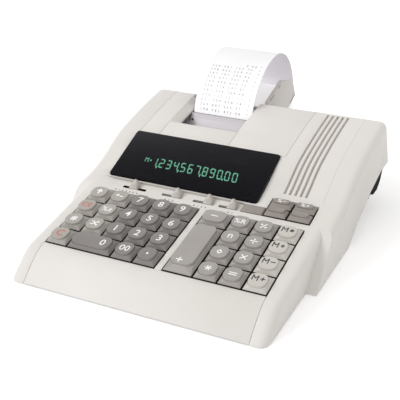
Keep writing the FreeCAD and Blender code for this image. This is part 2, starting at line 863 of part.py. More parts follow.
cover_end_y = barrel_y - barrel_radius - 1.2
cover = skin_band(cover_front_y, barrel_y, 0.0, cover_wall, cover_left, cover_right_x)
cover = cover.cut(box(channel_left - channel_bevel, channel_right, opening_y0, beyond, 0.0, beyond))
bevel_places = [opening_y0, (opening_y0 + cover_end_y) / 2, cover_end_y]
bevel_sections = []
for y in bevel_places:
    z = skin_z(y)
    bevel_x = channel_left - channel_bevel - weld
    corners = [V(bevel_x, y, z), V(bevel_x, y, z - cover_wall),
               V(channel_left, y, z - channel_drop - channel_floor), V(channel_left, y, z - channel_drop)]
    bevel_sections.append(Part.makePolygon(corners + corners[:1]))
bevel = Part.makeLoft(bevel_sections, True, True)
floor = skin_band(opening_y1, cover_end_y, channel_drop, channel_drop + channel_floor,
                  channel_left - channel_floor / 4, channel_right + channel_floor / 2)
right_wall = skin_band(opening_y0, cover_end_y, 0.0, channel_drop + channel_floor, channel_right,
                       channel_right + channel_floor)
cover_pieces = [cover, bevel, floor, right_wall]
cover_pieces.append(rod(cover_left, channel_left - channel_bevel, barrel_y, barrel_z, barrel_radius))
cover_pieces.append(rod(channel_right, cover_right_x, barrel_y, barrel_z, barrel_radius))
for pin_x in (cover_left, cover_right_x):
    cover_pieces.append(rod(pin_x - hinge_pin_length, pin_x + hinge_pin_length, barrel_y, barrel_z,
                            hinge_pin_radius))
cover = cover_pieces[0].multiFuse(cover_pieces[1:])
for seam_x in (channel_left - channel_bevel, channel_right):
    cover = cover.cut(skin_band(cover_front_y - past, opening_y0, -past, flap_seam_depth, seam_x - seam,
                                seam_x + seam))
nodes["printer_cover"] = cover

# Printer frame: two side plates joined by a floor plate and by the head's guide rail

frame_left = paper_left - frame_side_room
frame_right = paper_right + frame_side_room
floor_z = base_height + base_floor
frame_front_y = platen_y - frame_front_run
frame_rear_y = platen_y + frame_rear_run
base_rear_y = rear_face_y(rear_bottom_z) - tub_rear_run
tear_bar_y = platen_y - tear_bar_run
tear_bar_z = skin_z(tear_bar_y) - tear_bar_drop
frame_top_z = tear_bar_z - frame_below_bar
rail_y = platen_y - rail_run
rail_z = platen_z - rail_drop
plates = []
plate_outline = [(frame_front_y, floor_z), (base_rear_y - frame_foot_inset, floor_z),
                 (frame_rear_y, floor_z + frame_rear_low), (frame_rear_y, frame_top_z - frame_rear_drop),
                 (platen_y - frame_top_run, frame_top_z), (frame_front_y, frame_top_z)]
plates.append(slab(frame_left - frame_plate, frame_left, plate_outline))
plates.append(slab(frame_right, frame_right + frame_plate, plate_outline))
overlap = frame_plate / 2
plates.append(box(frame_left - overlap, frame_right + overlap, frame_front_y + frame_floor_front,
                  frame_rear_y - frame_floor_rear, floor_z + frame_floor_rise,
                  floor_z + frame_floor_rise + frame_plate))
plates.append(rod(frame_left - overlap, frame_right + overlap, rail_y, rail_z, rail_radius))
frame = join(plates)
frame = frame.cut(rod(-beyond, beyond, platen_y, platen_z, shaft_radius + shaft_clearance))
nodes["printer_frame"] = frame

# Platen roller on its shaft, with the paper feed knob at the right

knob_right = wing_half - knob_wall - knob_side_gap
knob_left = knob_right - knob_width
roller = rod(paper_left - platen_overhang, paper_right + platen_overhang, platen_y, platen_z, platen_radius)
shaft = rod(frame_left - frame_plate - shaft_end, knob_right - shaft_end, platen_y, platen_z, shaft_radius)
nodes["platen"] = join([roller, shaft])


def knob_outline(x, radius):
    corners = []
    for number in range(knob_sides):
        angle = 2 * math.pi * (number + 0.5) / knob_sides
        corners.append(V(x, platen_y + radius * math.cos(angle), platen_z + radius * math.sin(angle)))
    return Part.Face(Part.makePolygon(corners + corners[:1]))


knob = knob_outline(knob_left, knob_radius).extrude(V(knob_width, 0, 0))
rims = [edge for edge in knob.Edges if edge.BoundBox.XLength < 0.001]
knob = knob.makeChamfer(knob_chamfer, rims)
nodes["feed_knob"] = knob.cut(rod(knob_left - past, knob_right - shaft_end, platen_y, platen_z, shaft_radius))

# Print head on the rail

cassette_rear_y = platen_y - cassette_run
ribbon_y = platen_y - ribbon_run
head_front_y = cassette_rear_y + head_front_gap
head_rear_y = ribbon_y - head_rear_gap
head_top_z = platen_z + head_rise
head = box(paper_centre_x - head_width / 2, paper_centre_x + head_width / 2, head_front_y, head_rear_y,
           rail_z - rail_radius - head_below_rail, head_top_z)
nose = box(paper_centre_x - nose_width / 2, paper_centre_x + nose_width / 2, head_rear_y - nose_drop,
           ribbon_y - nose_gap, head_top_z - nose_drop - nose_height, head_top_z - nose_drop)
head = join([head, nose])
for number in range(head_fins):
    x = paper_centre_x + (number - (head_fins - 1) / 2) * head_fin_pitch
    head = head.cut(box(x - head_slot_width / 2, x + head_slot_width / 2, head_front_y - past,
                        head_rear_y - head_slot_end, rail_z + rail_radius + head_slot_rise, beyond))
nodes["print_head"] = head.cut(rod(-beyond, beyond, rail_y, rail_z, rail_radius + bearing_clearance))

# Ribbon cassette: a flat box in front of the head, with two arms that hold the ribbon before the paper

cassette_left = frame_left + cassette_gap
cassette_right = frame_right - cassette_gap
cassette_z = platen_z + cassette_rise
ribbon_rear_y = ribbon_y + ribbon_thickness
cassette = [box(cassette_left, cassette_right, frame_front_y + cassette_front_gap, cassette_rear_y,
                cassette_z, cassette_z + cassette_height)]
for arm_x in (cassette_left, cassette_right - cassette_arm):
    cassette.append(box(arm_x, arm_x + cassette_arm, cassette_rear_y - cassette_arm, ribbon_rear_y,
                        cassette_z, cassette_z + ribbon_height))
cassette.append(box(cassette_left + ribbon_inset, cassette_right - ribbon_inset, ribbon_y, ribbon_rear_y,
                    cassette_z + ribbon_inset, cassette_z + ribbon_height - ribbon_inset))
nodes["ribbon_cassette"] = join(cassette)

# Tear bar: a leaning blade with a toothed upper edge, screwed between the side plates

blade_left = channel_left + tear_bar_channel_gap
blade_right = channel_right - tear_bar_channel_gap
bar_left = frame_left + tear_bar_gap
bar_right = frame_right - tear_bar_gap
teeth = int((blade_right - blade_left) / tear_tooth_pitch)
tooth_step = (blade_right - blade_left) / teeth
outline = [V(bar_left, 0, -tear_foot), V(bar_right, 0, -tear_foot), V(bar_right, 0, tear_bar_shoulder),
           V(blade_right, 0, tear_bar_shoulder)]
for number in range(teeth):
    x = blade_right - number * tooth_step
    outline.append(V(x, 0, tear_bar_height))
    outline.append(V(x - tooth_step / 2, 0, tear_bar_height - tear_tooth_height))
outline += [V(blade_left, 0, tear_bar_height), V(blade_left, 0, tear_bar_shoulder),
            V(bar_left, 0, tear_bar_shoulder)]
blade = Part.Face(Part.makePolygon(outline + outline[:1])).extrude(V(0, tear_bar_thickness, 0))
blade.rotate(V(0, 0, 0), V(1, 0, 0), -tear_bar_lean)
blade.translate(V(0, tear_bar_y, tear_bar_z))
nodes["tear_bar"] = blade

# Paper: from the roll through the rear slot, round the platen, up behind the tear bar and over

wrap_radius = platen_radius + paper_clearance + paper_thickness / 2
front_y = platen_y - wrap_radius
rear_y = platen_y + wrap_radius
rise_end = (front_y, tear_bar_z - rise_below_bar)
arch_arcs = arc_chain(rise_end, 90.0, [(rise_end[0] + y, rise_end[1] + z) for y, z in arch_steps])
turn = 90.0 - entry_angle
turn_y = 1.0 - math.cos(math.radians(turn))
turn_z = math.sin(math.radians(turn))
entry_radius = (leave[1] - platen_z - entry_slope * (leave[0] - rear_y)) / (turn_z - entry_slope * turn_y)
entry_end = (rear_y + entry_radius * turn_y, platen_z + entry_radius * turn_z)
entry_arcs = arc_chain((rear_y, platen_z), 90.0, [entry_end])
wrap_arcs = arc_chain((front_y, platen_z), -90.0, [(platen_y, platen_z - wrap_radius), (rear_y, platen_z)])


def paper_side(depth):
    """One face of the paper, from its free end over the arch and round the platen to the roll."""
    edges = chain_edges(arch_arcs, depth)
    edges.append(straight(((front_y, platen_z), 90.0), (rise_end, 90.0), depth))
    edges += chain_edges(wrap_arcs, -depth)
    edges += chain_edges(entry_arcs, -depth)
    edges.append(straight((entry_end, entry_angle), (leave, entry_angle), -depth))
    return edges


half_paper = paper_thickness / 2
free_end = arch_arcs[-1][2]
paper_ends = []
for station in (free_end, (leave, entry_angle)):
    paper_ends.append(Part.makeLine(V(0, *to_the_right(station, half_paper)),
                                    V(0, *to_the_right(station, -half_paper))))
strip_wire = Part.Wire(Part.__sortEdges__(paper_side(half_paper) + paper_side(-half_paper) + paper_ends))
nodes["paper_strip"] = prism(Part.Face(strip_wire), paper_left, paper_right)

# Paper roll on its spindle

arm_inner_right = paper_right + arm_gap
arm_inner_left = paper_left - arm_gap
groove_reach = arm_thickness - arm_web
roll = rod(paper_left, paper_right, roll_y, roll_z, paper_roll_radius)
spindle_reach = groove_reach - spindle_clearance
spindle = rod(arm_inner_left - spindle_reach, arm_inner_right + spindle_reach, roll_y, roll_z, spindle_radius)
nodes["paper_roll"] = join([roll, spindle])

# Roll holder: two arms on a cross bar that plugs into the case's rear face

bar_top = holder_bar_z + holder_bar_height
arm_front_top = roll_z + arm_front_rise
arm_outline = [(rear_face_y(holder_bar_z) + holder_gap, holder_bar_z),
               (rear_face_y(arm_front_top) + holder_gap, arm_front_top)]
arm_outline += [(roll_y + y, roll_z + z) for y, z in arm_steps]
arm_outline += [(roll_y + tab_root, roll_z - spindle_radius - arm_under_spindle),
                (rear_face_y(holder_bar_z) + arm_root, holder_bar_z)]
bar_outline = [(rear_face_y(holder_bar_z) + holder_gap, holder_bar_z),
               (rear_face_y(bar_top) + holder_gap, bar_top),
               (rear_face_y(bar_top) + holder_bar_depth, bar_top),
               (rear_face_y(holder_bar_z) + holder_bar_depth, holder_bar_z)]
holder = [slab(arm_inner_left - arm_thickness, arm_inner_left, arm_outline),
          slab(arm_inner_right, arm_inner_right + arm_thickness, arm_outline),
          slab(arm_inner_left - arm_web, arm_inner_right + arm_web, bar_outline)]
for tab_x in tab_places:
    holder.append(box(tab_x - tab_width / 2, tab_x + tab_width / 2, rear_face_y(tab_z) - tab_length,
                      rear_face_y(tab_z) + tab_root, tab_z, tab_z + tab_height))
holder = join(holder)
seat = rod(arm_inner_left - groove_reach, arm_inner_right + groove_reach, roll_y, roll_z,
           spindle_radius + spindle_clearance)
seat = seat.fuse(box(arm_inner_left - groove_reach, arm_inner_right + groove_reach,
                     roll_y - spindle_radius - spindle_clearance, roll_y + spindle_radius + spindle_clearance,
                     roll_z, beyond))
nodes["roll_holder"] = holder.cut(seat)

# Key board: a guide plate with a hole for each stem, over the circuit board

guide_top = skirt_below + key_travel + guide_room
board_top = skirt_below + stem_length + key_travel + board_room
board_x0 = left_x - board_margin
board_x1 = field_half + board_margin
board_s0 = board_front_inset
board_s1 = upper_row_start + 2 * upper_key_depth + board_margin
guide = box(board_x0, board_x1, board_s0, board_s1, -guide_top - guide_thickness, -guide_top)
guide_places = []
for name, x, s, width, depth in main_keys + upper_keys + [flat_key]:
    guide_places += stem_places(x, s, width, depth)
reach = stem_size / 2 + stem_clearance
for x, s in guide_places:
    guide = guide.cut(box(x - reach, x + reach, s - reach, s + reach, -board_top, 0.0))
board = box(board_x0, board_x1, board_s0, board_s1, -board_top - board_thickness, -board_top)
posts = []
for x in (board_x0, board_x1 - post_size, left_x + left_columns * key_pitch + (block_gap - post_size) / 2):
    for s in (board_s0, board_s1 - post_size):
        posts.append(box(x, x + post_size, s, s + post_size, -board_top, -guide_top - guide_thickness))
nodes["key_board"] = on_slope(join([guide, board] + posts))

# Base: a flat tray at the front that widens into a sloped tub under the printer

base_z1 = rear_bottom_z - base_top_gap
tray_half = front_half - wall - base_side_gap
flange_half = wing_half - wall - base_side_gap
tray_rear_y = wing_belly_y + tray_overlap
tray = box(-tray_half, tray_half, tray_front_gap, tray_rear_y, base_height, floor_z)
tray = tray.fuse(box(-flange_half, flange_half, wing_foot_y + tray_wing_gap, tray_rear_y, base_height,
                     floor_z))
tray = tray.common(case_form(wall + base_side_gap))
base_end_y = rear_face_y(rear_bottom_z) - tub_rear_gap


def tub_form(inset, y0, low_z):
    """The tub's outside, or its inside at a wall's thickness."""
    low_half = base_bottom_half - inset
    high_half = wing_half - wall - tub_side_gap - inset
    rear_high = base_end_y - inset
    low = [V(-low_half, y0, low_z), V(low_half, y0, low_z), V(low_half, base_rear_y - inset, low_z),
           V(-low_half, base_rear_y - inset, low_z)]
    high = [V(-high_half, y0, base_z1 + inset), V(high_half, y0, base_z1 + inset),
            V(high_half, rear_high, base_z1 + inset), V(-high_half, rear_high, base_z1 + inset)]
    return frustum(low, high)


tub_front_y = wing_belly_y - tub_front_overlap
tub_outside = tub_form(0.0, tub_front_y, base_height).common(box(-beyond, beyond, 0.0, beyond, 0.0, base_z1))
tub_inside = tub_form(tub_wall, tub_front_y - tub_front_overlap, floor_z)
line = [(y, z + base_side_gap) for y, z in belly] + [(base_end_y, rear_bottom_z + base_side_gap)]
flange = slab(-flange_half, flange_half, line + [(y, z + base_floor) for y, z in reversed(line)])
pocket_y0 = platen_y - knob_radius - knob_room
pocket_y1 = platen_y + knob_radius + knob_room
pocket_x = knob_left - knob_room
pocket = box(pocket_x - tub_wall, wing_half, pocket_y0 - tub_wall, pocket_y1 + tub_wall, 0.0, base_z1)
base = tray.multiFuse([tub_outside.cut(tub_inside), flange.cut(tub_inside), pocket.common(tub_outside)])
base = base.cut(box(pocket_x, beyond, pocket_y0, pocket_y1, -beyond, beyond))
base = base.cut(rod(pocket_x - 2 * tub_wall, pocket_x + tub_wall, platen_y, platen_z,
                    shaft_radius + knob_side_gap))
nodes["base"] = base.removeSplitter()

# Rubber feet under the base

rear_foot_y = base_rear_y - rear_foot_inset
feet = []
for x, y in ((front_foot_x, front_foot_y), (rear_foot_x, rear_foot_y)):
    for side in (-1, 1):
        corners = []
        for number in range(foot_sides):
            corner_y, corner_x = place((y, side * x), 360.0 * number / foot_sides, foot_radius)
            corners.append(V(corner_x, corner_y, 0))
        feet.append(Part.Face(Part.makePolygon(corners + corners[:1])).extrude(V(0, 0, base_height)))
nodes["rubber_feet"] = Part.Compound(feet)

# Transformer: laminated core with its coil

transformer_x = wing_half - transformer_side_inset
transformer_y = base_rear_y - transformer_rear_inset
core = box(transformer_x - core_width / 2, transformer_x + core_width / 2, transformer_y - core_depth / 2,
           transformer_y + core_depth / 2, floor_z, floor_z + core_height)
coil_z = floor_z + (core_height - coil_height) / 2
coil = box(transformer_x - coil_width / 2, transformer_x + coil_width / 2, transformer_y - coil_depth / 2,
           transformer_y + coil_depth / 2, coil_z, coil_z + coil_height)
nodes["transformer"] = join([core, coil])

# The origin goes to the middle of the footprint, at table height

case_box = nodes["top_case"].optimalBoundingBox(False)
paper_box = nodes["paper_strip"].optimalBoundingBox(False)
shift = V(0, -(case_box.YMin + paper_box.YMax) / 2, 0)
print("shift", shift.y, "front", case_box.YMin, "rear", paper_box.YMax)

os.makedirs("parts", exist_ok=True)
for name, shape in nodes.items():
    placed = shape.copy()
    placed.translate(shift)
    placed.exportStep("parts/%s.step" % name)
    if not placed.isValid() or len(placed.Solids) != 1:
        print(name, len(placed.Solids), placed.isValid())
print(len(nodes), "nodes")
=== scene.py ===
import json
import math

import bmesh
import bpy
from mathutils import Matrix, Vector
from mathutils.bvhtree import BVHTree


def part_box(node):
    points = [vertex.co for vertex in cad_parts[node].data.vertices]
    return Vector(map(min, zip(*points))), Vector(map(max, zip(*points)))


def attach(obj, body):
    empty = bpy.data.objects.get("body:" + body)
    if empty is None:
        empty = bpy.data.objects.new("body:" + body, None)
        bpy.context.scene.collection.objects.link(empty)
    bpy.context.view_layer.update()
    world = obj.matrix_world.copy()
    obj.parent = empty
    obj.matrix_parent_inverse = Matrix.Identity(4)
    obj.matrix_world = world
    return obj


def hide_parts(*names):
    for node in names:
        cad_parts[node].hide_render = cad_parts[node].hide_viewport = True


# Lengths are in metres, in the calculator's own frame: X to the right, Y to the rear, Z up from the table.

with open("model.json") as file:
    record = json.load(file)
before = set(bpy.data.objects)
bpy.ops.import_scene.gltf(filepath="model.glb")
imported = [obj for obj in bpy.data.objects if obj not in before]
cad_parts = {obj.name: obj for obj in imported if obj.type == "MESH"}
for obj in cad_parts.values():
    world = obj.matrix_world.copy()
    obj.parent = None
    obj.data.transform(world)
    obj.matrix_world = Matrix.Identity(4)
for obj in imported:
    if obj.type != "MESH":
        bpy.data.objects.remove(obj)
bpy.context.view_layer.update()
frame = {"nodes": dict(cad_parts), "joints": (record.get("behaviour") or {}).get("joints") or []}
for cad_node in frame["nodes"].values():
    cad_node.data.materials.clear()


# Camera and table
# A desk machine, seen by someone who stands at its front right corner and looks down on the keys.
# It stands on a plain pale table top, under soft light from the left front.

camera_data = bpy.data.cameras.new("camera")
camera_data.sensor_width = 36.0
camera_data.lens = 74.52
camera_data.clip_start = 0.05
camera = bpy.data.objects.new("camera", camera_data)
camera.location = (0.25962, -0.59657, 0.32033)
camera.rotation_euler = (math.radians(64.84), 0.0, math.radians(25.72))
bpy.context.scene.collection.objects.link(camera)
bpy.context.scene.camera = camera
bpy.context.scene.view_settings.view_transform = "Standard"


def feed(tree, node, inputs):
    """Feeds a node's inputs, each with a constant or with another node's output."""
    for name, value in inputs.items():
        if isinstance(value, bpy.types.NodeSocket):
            tree.links.new(value, node.inputs[name])
        else:
            node.inputs[name].default_value = value


def add_node(tree, kind, inputs=None, **settings):
    """Adds a node with its settings and inputs, and gives its outputs."""
    node = tree.nodes.new(kind)
    for setting, value in settings.items():
        setattr(node, setting, value)
    feed(tree, node, inputs or {})
    return node.outputs


def compute(tree, operation, *values):
    """The result of one math node."""
    return add_node(tree, "ShaderNodeMath", dict(enumerate(values)), operation=operation)[0]


def new_material(name, inputs):
    """A material whose shader has its constants, ready for the rest of its nodes."""
    material = bpy.data.materials.new(name)
    material.use_nodes = True
    tree = material.node_tree
    shader = tree.nodes["Principled BSDF"]
    feed(tree, shader, inputs)
    return material, tree, shader


def area_light(name, place, size, watts):
    """A soft rectangular light that shines at the machine."""
    aim = Vector((0.0, 0.0, 0.05))
    lamp_data = bpy.data.lights.new(name, "AREA")
    lamp_data.shape = "RECTANGLE"
    lamp_data.size = size
    lamp_data.size_y = size * 0.7
    lamp_data.energy = watts
    lamp = bpy.data.objects.new(name, lamp_data)
    lamp.location = place
    lamp.rotation_euler = (aim - Vector(place)).to_track_quat("-Z", "Y").to_euler()
    bpy.context.scene.collection.objects.link(lamp)
    return lamp


def backdrop_ray(tree):
    """One where the camera, a reflection or a view through glass meets the backdrop, else nought."""
    kind = add_node(tree, "ShaderNodeLightPath")
    seen = kind["Is Camera Ray"]
    for other in ("Is Glossy Ray", "Is Transmission Ray"):
        seen = compute(tree, "MAXIMUM", seen, kind[other])
    return seen


area_light("soft_light_left", (-1.25, -1.35, 1.40), 1.1, 17.0)
area_light("soft_light_rear", (0.5, 1.4, 0.9), 1.0, 3.0).visible_glossy = False

world = bpy.data.worlds.new("studio")
bpy.context.scene.world = world
world.use_nodes = True
world_tree = world.node_tree
world_tree.nodes.clear()
warm_white = (1.0, 0.995, 0.985, 1.0)
white = (1.0, 1.0, 1.0, 1.0)
fill_light = add_node(world_tree, "ShaderNodeBackground", {"Color": warm_white, "Strength": 0.75})
white_wall = add_node(world_tree, "ShaderNodeBackground", {"Color": white, "Strength": 1.0})
studio = add_node(world_tree, "ShaderNodeMixShader",
                  {0: backdrop_ray(world_tree), 1: fill_light[0], 2: white_wall[0]})
add_node(world_tree, "ShaderNodeOutputWorld", {"Surface": studio[0]})

table_material, table_tree, table_shader = new_material("pale table top", {
    "Base Color": (0.9, 0.9, 0.9, 1.0), "Roughness": 0.85, "Specular IOR Level": 0.0,
    "Emission Color": white})
table_glow = compute(table_tree, "MULTIPLY", backdrop_ray(table_tree), 0.28)
feed(table_tree, table_shader, {"Emission Strength": table_glow})
bpy.ops.mesh.primitive_plane_add(size=6.0, location=(0.0, 0.0, 0.0))
table = bpy.context.active_object
table.name = "table_top"
table.data.materials.append(table_material)


# Moulded case
# The top case, its front panel and the base are shells of off-white ABS, injection-moulded with a fine spark
# texture. The top drops over the base and is held by screws from below; the panel clips in between two seams.

def only(piece):
    """Makes one piece the selected and active one."""
    bpy.ops.object.select_all(action="DESELECT")
    piece.select_set(True)
    bpy.context.view_layer.objects.active = piece


def modify(piece, kind, **settings):
    """Adds a modifier and applies it."""
    only(piece)
    modifier = piece.modifiers.new(kind.lower(), kind)
    for setting, value in settings.items():
        setattr(modifier, setting, value)
    bpy.ops.object.modifier_apply(modifier=modifier.name)


def soften(piece, width, segments=2, degrees=30.0):
    """Rounds the edges of a piece that are sharper than an angle."""
    modify(piece, "BEVEL", width=width, segments=segments, limit_method="ANGLE",
           angle_limit=math.radians(degrees), use_clamp_overlap=True)


def edit_all(piece, *steps):
    """Runs mesh operators, each with its settings, on the whole of a piece."""
    only(piece)
    bpy.ops.object.mode_set(mode="EDIT")
    for operator, settings in steps:
        bpy.ops.mesh.select_all(action="SELECT")
        operator(**settings)
    bpy.ops.object.mode_set(mode="OBJECT")


def shade(piece, degrees=32.0):
    """Shades a piece smooth but for its sharper edges."""
    only(piece)
    bpy.ops.object.shade_smooth_by_angle(angle=math.radians(degrees))


def block(name, low, high):
    """A cube between two corners, with its place in its mesh."""
    low = Vector(low)
    high = Vector(high)
    bpy.ops.mesh.primitive_cube_add(size=1.0, location=(low + high) / 2, scale=high - low)
    piece = bpy.context.active_object
    piece.name = name
    bpy.ops.object.transform_apply()
    return piece


def slice_across(piece, front, rear, steps):
    """Cuts a long bar into even lengths along Y, so that it can follow a curve."""
    cuts = [front + (rear - front) * step / steps for step in range(1, steps)]
    edit_all(piece, *[(bpy.ops.mesh.bisect, {"plane_co": (0.0, y, 0.0), "plane_no": (0.0, 1.0, 0.0)})
                      for y in cuts])


def cut_with(piece, tool, operation="DIFFERENCE"):
    """Cuts, or joins, one mesh with another, which is then deleted."""
    modify(piece, "BOOLEAN", object=tool, operation=operation, solver="EXACT")
    bpy.data.objects.remove(tool)


def paint(piece, material, test):
    """Gives the faces that pass a test a material of their own."""
    piece.data.materials.append(material)
    slot_number = len(piece.data.materials) - 1
    for face in piece.data.polygons:
        if test(face):
            face.material_index = slot_number


def blend_colors(tree, factor, first, second):
    """A colour between two others."""
    return add_node(tree, "ShaderNodeMix", {"Factor": factor, "A": first, "B": second},
                    data_type="RGBA")["Result"]


def noise_field(tree, size_socket, detail):
    """Noise on object coordinates with features of a given size, and the place and scale that it uses."""
    place = add_node(tree, "ShaderNodeTexCoord")["Object"]
    scale = compute(tree, "DIVIDE", 1.0, size_socket)
    noise = add_node(tree, "ShaderNodeTexNoise", {"Vector": place, "Scale": scale, "Detail": detail})
    return noise["Fac"], place, scale


def new_group(name, inputs, outputs):
    """An empty node group with its sockets, and its two ends."""
    group = bpy.data.node_groups.new(name, "ShaderNodeTree")
    for socket, kind in inputs.items():
        group.interface.new_socket(socket, in_out="INPUT", socket_type="NodeSocket" + kind)
    for socket, kind in outputs.items():
        group.interface.new_socket(socket, in_out="OUTPUT", socket_type="NodeSocket" + kind)
    return group, group.nodes.new("NodeGroupInput").outputs, group.nodes.new("NodeGroupOutput")


def grain_group():
    """Fine moulded texture: a height from noise and small pits."""
    group, inlet, outlet = new_group("moulded grain", {"Grain size": "Float"}, {"Height": "Float"})
    fine, place, scale = noise_field(group, inlet["Grain size"], 2.0)
    pits = add_node(group, "ShaderNodeTexVoronoi", {"Vector": place, "Scale": scale})["Distance"]
    feed(group, outlet, {"Height": compute(group, "MULTIPLY_ADD", pits, 0.5, fine)})
    return group


def tone_group():
    """Uneven ageing: a colour that drifts to a second one in soft patches, and a roughness that follows."""
    group, inlet, outlet = new_group(
        "uneven tone", {"Color": "Color", "Aged color": "Color", "Patch size": "Float", "Amount": "Float",
                        "Roughness": "Float"}, {"Color": "Color", "Roughness": "Float"})
    patches = noise_field(group, inlet["Patch size"], 4.0)[0]
    spread = add_node(group, "ShaderNodeMapRange", {"Value": patches, "From Min": 0.35, "From Max": 0.7})
    share = compute(group, "MULTIPLY", spread["Result"], inlet["Amount"])
    feed(group, outlet, {"Color": blend_colors(group, share, inlet["Color"], inlet["Aged color"]),
                         "Roughness": compute(group, "MULTIPLY_ADD", share, 0.08, inlet["Roughness"])})
    return group


moulded_grain = grain_group()
uneven_tone = tone_group()


def linear(red, green, blue):
    """A colour as the eye reads it from 0 to 255, as linear light."""
    channels = []
    for value in (red, green, blue):
        share = value / 255.0
        channels.append(share / 12.92 if share <= 0.04045 else ((share + 0.055) / 1.055) ** 2.4)
    return (*channels, 1.0)


def finish_material(name, color, aged, roughness, grain_size=0.0004, grain_depth=0.00003, patch_size=0.06,
                    metallic=0.0, specular=0.5):
    """A plastic, metal or rubber surface: uneven colour and gloss and a fine grain, on one shader."""
    material, tree, shader = new_material(name, {"Metallic": metallic, "Specular IOR Level": specular})
    tone = add_node(tree, "ShaderNodeGroup", {
        "Color": linear(*color), "Aged color": linear(*aged), "Patch size": patch_size, "Amount": 0.6,
        "Roughness": roughness}, node_tree=uneven_tone)
    grain = add_node(tree, "ShaderNodeGroup", {"Grain size": grain_size}, node_tree=moulded_grain)
    bump = add_node(tree, "ShaderNodeBump", {"Strength": 0.6, "Distance": grain_depth, "Height": grain[0]})
    feed(tree, shader, {"Base Color": tone["Color"], "Roughness": tone["Roughness"], "Normal": bump[0]})
    return material


def dress(piece, material, body, slot, *nodes):
    """Gives a piece its material and its body, and hides the nodes that it stands for; its slot is not used.
    """
    piece.data.materials.clear()
    piece.data.materials.append(material)
    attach(piece, body)
    if nodes:
        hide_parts(*nodes)
    return piece


def cad_piece(node, name, material, body, slot, round_by=0.0, whole_faces=True):
    """A copy of a CAD node that stands for it: merged, its flat faces made whole, its sharp edges broken."""
    piece = bpy.data.objects.new(name, frame["nodes"][node].data.copy())
    bpy.context.scene.collection.objects.link(piece)
    steps = [(bpy.ops.mesh.remove_doubles, {"threshold": 0.000002})]
    if whole_faces:
        flat = {"angle_limit": math.radians(0.6), "delimit": {"NORMAL"}}
        steps.append((bpy.ops.mesh.dissolve_limited, flat))
    edit_all(piece, *steps)
    if round_by:
        soften(piece, round_by, degrees=38.0)
    shade(piece)
    return dress(piece, material, body, slot, node)


case_plastic = finish_material("off-white moulded plastic", (227, 223, 219), (221, 217, 211), 0.5)
base_plastic = finish_material("off-white base plastic", (208, 204, 199), (198, 194, 188), 0.55)
groove_shade = finish_material("painted shade in the grooves", (198, 192, 186), (184, 178, 172), 0.8, 0.0005, 0.00005,
                              0.01)
gap_shade = finish_material("painted shade in the gaps", (120, 115, 110), (96, 92, 88), 0.8, 0.0005, 0.00005, 0.01)
strip_shade = finish_material("shaded wall of the strip", (186, 181, 176), (176, 171, 166), 0.6,
                              patch_size=0.02)
black_print_and_shade = finish_material("black print under the window", (12, 12, 14), (17, 17, 19), 0.7, 0.0005, 0.00001,
                             0.02)

case_shell = cad_piece("top_case", "case_shell", case_plastic, "frame", "case_plastic", 0.00035)
palm_rest = cad_piece("front_panel", "palm_rest", case_plastic, "frame", "case_plastic", 0.0003)
cad_piece("base", "base_shell", base_plastic, "frame", "base_plastic", 0.0003)


def surface_of(piece):
    """A finished mesh in a form that lines can be dropped on."""
    return BVHTree.FromPolygons([vertex.co.copy() for vertex in piece.data.vertices],
                                [tuple(face.vertices) for face in piece.data.polygons])


case_surface = surface_of(case_shell)


def skin_height(x, y, start_z=0.3, direction_z=-1.0):
    """Height of the case's surface over a point of the table, from above, or from below if so asked."""
    return case_surface.ray_cast(Vector((x, y, start_z)), Vector((0.0, 0.0, direction_z)))[0].z


groove_first = 0.0607
groove_pitch = 0.0045
groove_count = 5
groove_reach = 0.0014
groove_skin_x = groove_first - groove_pitch
groove_front = -0.031
groove_rear = 0.086


def in_groove(face):
    """True for the faces that line the five grooves beside the cover."""
    middle = face.center
    nearest = round((middle.x - groove_first) / groove_pitch)
    if not 0 <= nearest < groove_count or not groove_front < middle.y < groove_rear:
        return False
    off_line = abs(middle.x - groove_first - nearest * groove_pitch)
    depth_below = skin_height(groove_skin_x, middle.y) - middle.z
    return off_line < groove_reach and 0.0004 < depth_below < 0.003


# Painted shade: the faces that line the grooves are painted darker for the shade inside them
paint(case_shell, groove_shade, in_groove)

window_low, window_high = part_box("display_window")
window_tilt = math.radians(22.6)
window_thickness = 0.0026
window_top_z = window_low.z + window_thickness * math.cos(window_tilt)
window_edge = 0.0004


def under_window(face):
    """True for the walls of the hollow below the window, which are printed black."""
    middle = face.center
    if not (window_low.x - window_edge < middle.x < window_high.x + window_edge
            and window_low.y < middle.y < window_high.y + window_edge):
        return False
    below = ((window_top_z - middle.z) * math.cos(window_tilt)
             + (middle.y - window_low.y) * math.sin(window_tilt))
    return 0.0022 < below < 0.03


paint(case_shell, black_print_and_shade, under_window)

switch_slots_left = -0.073
first_slot_right = -0.045
switch_slots_right = 0.031
switch_slot_front = -0.0567
switch_slot_rear = -0.0525
strip_wall_left = -0.0915
strip_wall_right = 0.045
strip_wall_y = -0.0477
strip_wall_z = 0.0382


def in_switch_slot(face, left, right):
    """True for the walls of the switch slots between two places across the case."""
    middle = face.center
    return (left < middle.x < right and switch_slot_front < middle.y < switch_slot_rear
            and abs(face.normal.z) < 0.5)


def on_strip_wall(face):
    """True for the low wall at the rear of the switch strip."""
    middle = face.center
    return (face.normal.y < -0.9 and strip_wall_left < middle.x < strip_wall_right
            and abs(middle.y - strip_wall_y) < 0.0005 and abs(middle.z - strip_wall_z) < 0.0012)


# The first slot is open to the dark inside: its walls are painted black, painted shade for the dark. The
# walls of the others are painted a shaded grey, painted shade that dims them.
paint(case_shell, black_print_and_shade, lambda face: in_switch_slot(face, switch_slots_left, first_slot_right))
paint(case_shell, strip_shade, lambda face: in_switch_slot(face, first_slot_right, switch_slots_right))
paint(case_shell, strip_shade, on_strip_wall)
# Painted shade: a dark band along the palm rest's lower edge stands for the shade where it meets the table
paint(palm_rest, gap_shade, lambda face: face.center.z < 0.0013 and face.normal.z < 0.3)

